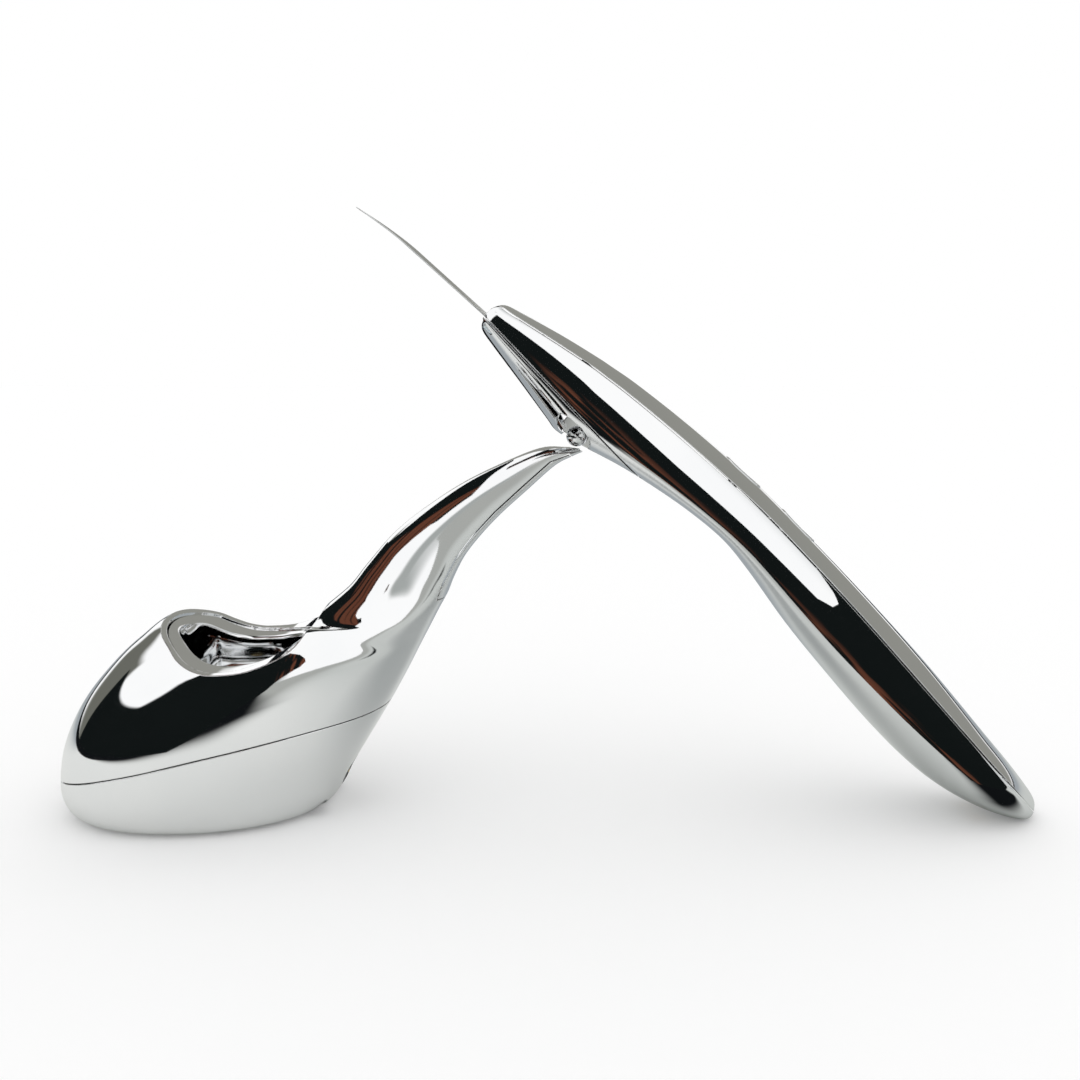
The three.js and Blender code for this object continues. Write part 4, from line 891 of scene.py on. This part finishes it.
def makeBlade():
    v = wandValues["blade"]
    rings = []
    total = v["root"] + v["reach"]
    for k in range(v["steps"] + 1):
        x = v["root"] - total * k / v["steps"]
        past = max(-x - v["bend"], 0) / (v["reach"] - v["bend"])
        centre = -v["drop"] - v["tipDrop"] * past ** v["tipPower"]
        toTip = x + v["reach"]
        half = v["width"] / 2
        if toTip < v["corner"]:
            half -= v["corner"] - math.sqrt(max(v["corner"] ** 2 - (v["corner"] - toTip) ** 2, 0))
        thickness = v["ground"] * min(v["edgeShare"] + (1 - v["edgeShare"]) * toTip / v["edge"], 1)
        rings.append(bladeSection(x, centre, half, thickness))
    finishWand(loftPiece("scraperBlade", rings), ["blade"], "satin_steel")


def makeSeal():
    v = wandValues["seal"]
    seal = sealBlock("bladeSeal", -v["fit"])
    pick(seal)
    bevel = seal.modifiers.new("round", "BEVEL")
    bevel.width = v["round"] * mm
    bevel.segments = v["roundSteps"]
    bpy.ops.object.modifier_apply(modifier=bevel.name)
    combine(seal, bladeSlot())
    finishWand(seal, ["blade_seal"], "silicone")


def readWand(x):
    rows = wandRows(5)
    return {key: readLine([(row["x"], row[key]) for row in rows], x) for key in ("top", "seam", "bottom", "half")}


def coverHeight(x, y):  # height of the top cover's skin
    row = readWand(x)
    return row["top"] - (row["top"] - row["seam"]) * (y / (wandValues["crown"] * row["half"])) ** 2


def makeButton(kind, x):
    v = wandValues["button"]
    inside = coverHeight(x, v["width"] / 2 + v["skirt"]) - wandValues["wall"]
    flangeTop = inside - wandValues["gap"] - v["flange"] / 2

    def crowned(plan, sink):
        return [(a, b, coverHeight(a, b) + v["proud"] - sink) for a, b in plan]

    wide, cap = buttonPlan(x, v["skirt"]), buttonPlan(x, 0)
    levels = ((wide, flangeTop - v["flange"]), (wide, flangeTop), (cap, flangeTop))
    rings = [[(a, b, height) for a, b in plan] for plan, height in levels]
    for inward, down in quarterTurn(5):
        rings.append(crowned(buttonPlan(x, -v["round"] * inward), v["round"] * down))
    for share in v["dishShares"]:
        plan = [(x + (a - x) * share, b * share) for a, b in buttonPlan(x, -v["round"])]
        rings.append(crowned(plan, v["dish"] * (1 - share ** 2)))
    button = loftPiece(kind + "Button", rings)
    combine(button, rodPiece("stem", v["stem"], v["stemLow"], flangeTop - v["flange"] / 2, x, 0), "UNION")
    finishWand(button, [kind + "_button"], "chrome", kind + "_button")


def makeLightPipe():
    v = wandValues["light"]
    x = v["x"]
    top = readWand(x)["top"]
    flange = top - wandValues["wall"] - wandValues["gap"] - v["fit"]
    pipe = rodPiece("lightPipe", v["radius"], top - v["length"], wandValues["reach"]["high"], x, 0)
    combine(pipe, wandSkin("skin"), "INTERSECT")
    combine(pipe, rodPiece("collar", v["collar"], flange - wandValues["button"]["flange"], flange, x, 0), "UNION")
    finishWand(pipe, ["light_pipe"], "clear_plastic")


def makeTailContacts():
    v = wandValues["contacts"]
    x = v["x"]
    inside = readWand(x)["bottom"] + wandValues["wall"]
    for number, side in enumerate((-0.5, 0.5), 1):
        y = side * v["spacing"]
        contact = rodPiece("tailContact%d" % number, v["radius"], -wandValues["reach"]["high"], inside, x, y)
        combine(contact, wandSkin("skin"), "INTERSECT")
        stem = rodPiece("stem", v["stem"], inside - v["stemSink"], inside + v["stemLength"], x, y, 24)
        combine(contact, stem, "UNION")
        finishWand(contact, ["tail_contact_%d" % number], "brass")


makeTopCover()
makeBodyShell()
makeHeadCover()
makeRestBall()
makeBlade()
makeSeal()
for kind, x in wandValues["buttons"].items():
    makeButton(kind, x)
makeLightPipe()
makeTailContacts()
print("wand modelled")

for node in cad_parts.values():  # the solids inside keep their shape and get their slot's finish
    if not node.hide_render:
        paint(node, node.data.materials[0].name.split(".")[0])


# Floor, backdrop and light
studioValues = {
    "white": (1.06, 1.06, 1.06), "black": (0.006, 0.008, 0.008), "brown": (0.127, 0.045, 0.026),
    "cards": [  # far off: corners (turn, height) in degrees, counterclockwise; colour; softness
        ([(60, -10), (114, -10), (114, 90), (60, 90)], (0.58, 0.60, 0.60), 24),
        ([(-138, 5), (-98, -5), (-98, 27), (-140, 24)], (0.15, 0.152, 0.132), 3),
        ([(-105, -30), (-50, -30), (-50, 16), (-105, 21)], (0.006, 0.008, 0.008), 0.6),
        ([(-12, -30), (6, -30), (7, 7), (-2, 13), (-12, 14)], (0.40, 0.42, 0.41), 3),
        ([(-64, -30), (-22, -30), (-22, 10), (-32, 21), (-64, 15)], (0.006, 0.008, 0.008), 0.6),
        ([(114, 0), (142, 1), (181, 10), (181, 60), (150, 62), (112, 55)], (0.29, 0.29, 0.265), 0.6),
        ([(-181, 5), (-160, 5), (-160, 60), (-181, 60)], (0.29, 0.29, 0.265), 0.6),
    ],
    "floor": {"size": 8, "middle": (0.08, 0, 0), "paper": (0.9, 0.9, 0.9), "glow": 0.1},
    "sheet": {  # the table's painted reflection, which only the chrome sees: soft steps along an axis, in metres
        "color": (0.80, 0.81, 0.79), "dark": (0.006, 0.007, 0.008),
        "darkReflectionPatch": [("X", 0.183, 0.197), ("X", 0.29, 0.25), ("Y", -0.008, -0.016), ("Y", -0.19, -0.14)],
        "front": [("Y", -0.30, -0.14), ("X", 0.01, 0.08)], "edges": [("X", -0.5, -0.45), ("Y", 0.5, 0.45)],
        "reflectionShades": [("X", 0.04, 0.13, (0.60, 0.62, 0.60)), ("Y", 0.02, 0.16, (0.36, 0.39, 0.41)),
                  ("Y", -0.12, -0.42, (0.42, 0.43, 0.41))],
        "shade": (0.10, 0.01, 0), "shadeStep": (0.07, 0.02, 0, 0.7), "shadeColor": (0.36, 0.38, 0.38)},
    "streaks": (0.46, 0.56), "flagDepth": 0.4,
    "flags": {  # black flags that only the chrome sees, in mm and degrees; grain: size and turn of the streaks
        "wand": {"turn": (90, 0, 0), "place": (0, -30, 0), "outline": [
            (68, 122), (90, 97), (110, 82), (135, 62), (150, 45), (170, 22), (190, 3), (192, 0.5), (620, 0.5),
            (620, 90), (300, 54), (250, 56), (210, 60), (190, 66), (172, 75), (170, 66), (166, 60), (160, 56.5),
            (154, 57), (140, 69.5), (120, 87), (100, 107), (84, 129), (78, 135)],
            "grain": ((26, 26, 2.2), 44), "brown": [((0.698, 0, 0.716), 142, 137), ((1, 0, 0), 80, 92)]},
        "nose": {"turn": (90, 0, 0), "place": (0, -60, 0), "outline": [
            (-60, 19), (-12, 18), (0, 22), (15, 30), (26, 35), (33, 41), (39, 48), (41, 56), (40, 62), (36, 70),
            (30, 75), (26, 69), (20, 60), (14, 53), (0, 51.5), (-12, 56), (-22, 53), (-30, 50), (-45, 46),
            (-60, 44)],
            "grain": ((3, 30, 40), 0), "brown": [((1, 0, 0), 28, 31)]},
        "neck": {"turn": (0, -34.4, 0), "place": (-37.8, 0, 144), "outline": [
            (-48, -40), (-36, -70), (-16, -60), (8, -80), (24, -100), (30, -132), (54, -132), (58, -70), (62, 0),
            (66, 60), (68, 110), (64, 170), (40, 125), (20, 90), (0, 72), (-15, 80), (-30, 100), (-50, 160),
            (-60, 210), (-110, 210), (-76, 130), (-64, 60), (-56, 10)],
            "grain": ((600, 22, 600), -34.4), "brown": [((-0.615, -0.667, -0.421), -47, -41)]},
    },
}


def insideCorners(tree, turn, height, corners, soft):  # 1 inside the corners, and 0 outside
    inside = 1
    for (a, b), (c, d) in zip(corners, corners[1:] + corners[:1]):
        length = math.hypot(c - a, d - b)
        along, across = (c - a) / length, (d - b) / length
        up, aside = calc(tree, "MULTIPLY", height, along), calc(tree, "MULTIPLY", turn, across)
        distance = calc(tree, "SUBTRACT", calc(tree, "SUBTRACT", up, aside), along * b - across * a)
        inside = calc(tree, "MULTIPLY", ramp(tree, distance, -soft, soft), inside)
    return inside


def makeWorld():
    v = studioValues
    world = bpy.data.worlds.new("studio")
    bpy.context.scene.world = world
    world.use_nodes = True
    tree = world.node_tree
    split = tree.nodes.new("ShaderNodeSeparateXYZ")
    direction = tree.nodes.new("ShaderNodeTexCoord").outputs["Generated"]
    tree.links.new(direction, split.inputs[0])
    back = calc(tree, "MULTIPLY", split.outputs["Y"], -1)
    turn = calc(tree, "DEGREES", calc(tree, "ARCTAN2", split.outputs["X"], back))
    height = calc(tree, "DEGREES", calc(tree, "ARCSINE", split.outputs["Z"]))
    color = v["white"]
    for corners, tint, soft in v["cards"]:
        color = blend(tree, insideCorners(tree, turn, height, corners, soft), color, tint)
    glossy = tree.nodes.new("ShaderNodeLightPath").outputs["Is Glossy Ray"]
    background = tree.nodes["Background"]
    tree.links.new(blend(tree, glossy, (1, 1, 1), color), background.inputs["Color"])
    background.inputs["Strength"].default_value = 1


def makeFloor():
    v, plane = studioValues["sheet"], studioValues["floor"]
    floor = addPiece("floor", bpy.ops.mesh.primitive_plane_add, size=plane["size"], location=plane["middle"])
    material, tree, place = startMaterial("floorPaper")
    shader = tree.nodes["Principled BSDF"]
    shader.inputs["Roughness"].default_value = 1
    shader.inputs["Specular IOR Level"].default_value = 0
    split = tree.nodes.new("ShaderNodeSeparateXYZ")
    tree.links.new(place, split.inputs[0])

    def step(axis, start, end):
        return ramp(tree, split.outputs[axis], start, end)

    dark = 1  # a dark patch painted into the floor's reflection by the wand's tail
    for edge in v["darkReflectionPatch"]:
        dark = calc(tree, "MULTIPLY", step(*edge), dark)
    # the painted reflection is dark on the patch, far in front to the left and past the edges
    inside = calc(tree, "SUBTRACT", 1, dark)
    front = calc(tree, "MAXIMUM", *[step(*edge) for edge in v["front"]])
    for share in (front, *[step(*edge) for edge in v["edges"]]):
        inside = calc(tree, "MULTIPLY", inside, share)
    # painted shade in the floor's reflection: darker towards the wand's tail, behind and far in front
    pale = v["color"]
    for axis, start, end, tint in v["reflectionShades"]:
        pale = blend(tree, step(axis, start, end), pale, tint)
    far = vectorCalc(tree, "DISTANCE", place, v["shade"])  # a grey shade between the stand and the wand
    pale = blend(tree, ramp(tree, far, *v["shadeStep"]), pale, v["shadeColor"])
    seen = blend(tree, inside, v["dark"], pale)
    # the camera sees plain paper; only the chrome sees the painted reflection
    path = tree.nodes.new("ShaderNodeLightPath")
    tree.links.new(blend(tree, path.outputs["Is Glossy Ray"], plane["paper"], seen), shader.inputs["Base Color"])
    glow = tree.nodes.new("ShaderNodeEmission")
    tree.links.new(calc(tree, "MULTIPLY", path.outputs["Is Camera Ray"], plane["glow"]), glow.inputs["Strength"])
    add = tree.nodes.new("ShaderNodeAddShader")
    tree.links.new(shader.outputs[0], add.inputs[0])
    tree.links.new(glow.outputs[0], add.inputs[1])
    tree.links.new(add.outputs[0], tree.nodes["Material Output"].inputs["Surface"])
    floor.data.materials.append(material)


def makeFlags():
    v = studioValues
    for name, flag in v["flags"].items():
        material, tree, place = startMaterial(name + "FlagPaint")
        share = ramp(tree, texture(tree, place, *flag["grain"]), *v["streaks"])
        for axis, start, end in flag["brown"]:
            along = vectorCalc(tree, "DOT_PRODUCT", place, axis)
            share = calc(tree, "MULTIPLY", ramp(tree, along, start * mm, end * mm), share)
        glow = tree.nodes.new("ShaderNodeEmission")
        tree.links.new(blend(tree, share, v["black"], v["brown"]), glow.inputs["Color"])
        tree.links.new(glow.outputs[0], tree.nodes["Material Output"].inputs["Surface"])
        piece = slabPiece(name + "Flag", flag["outline"], 0, v["flagDepth"])
        placePiece(piece, [math.radians(angle) for angle in flag["turn"]], flag["place"])
        piece.data.materials.append(material)
        piece.visible_camera = piece.visible_diffuse = piece.visible_shadow = piece.visible_transmission = False


makeFlags()
makeFloor()
makeWorld()
bpy.context.scene.view_settings.view_transform = "Standard"
print("stage and light set")
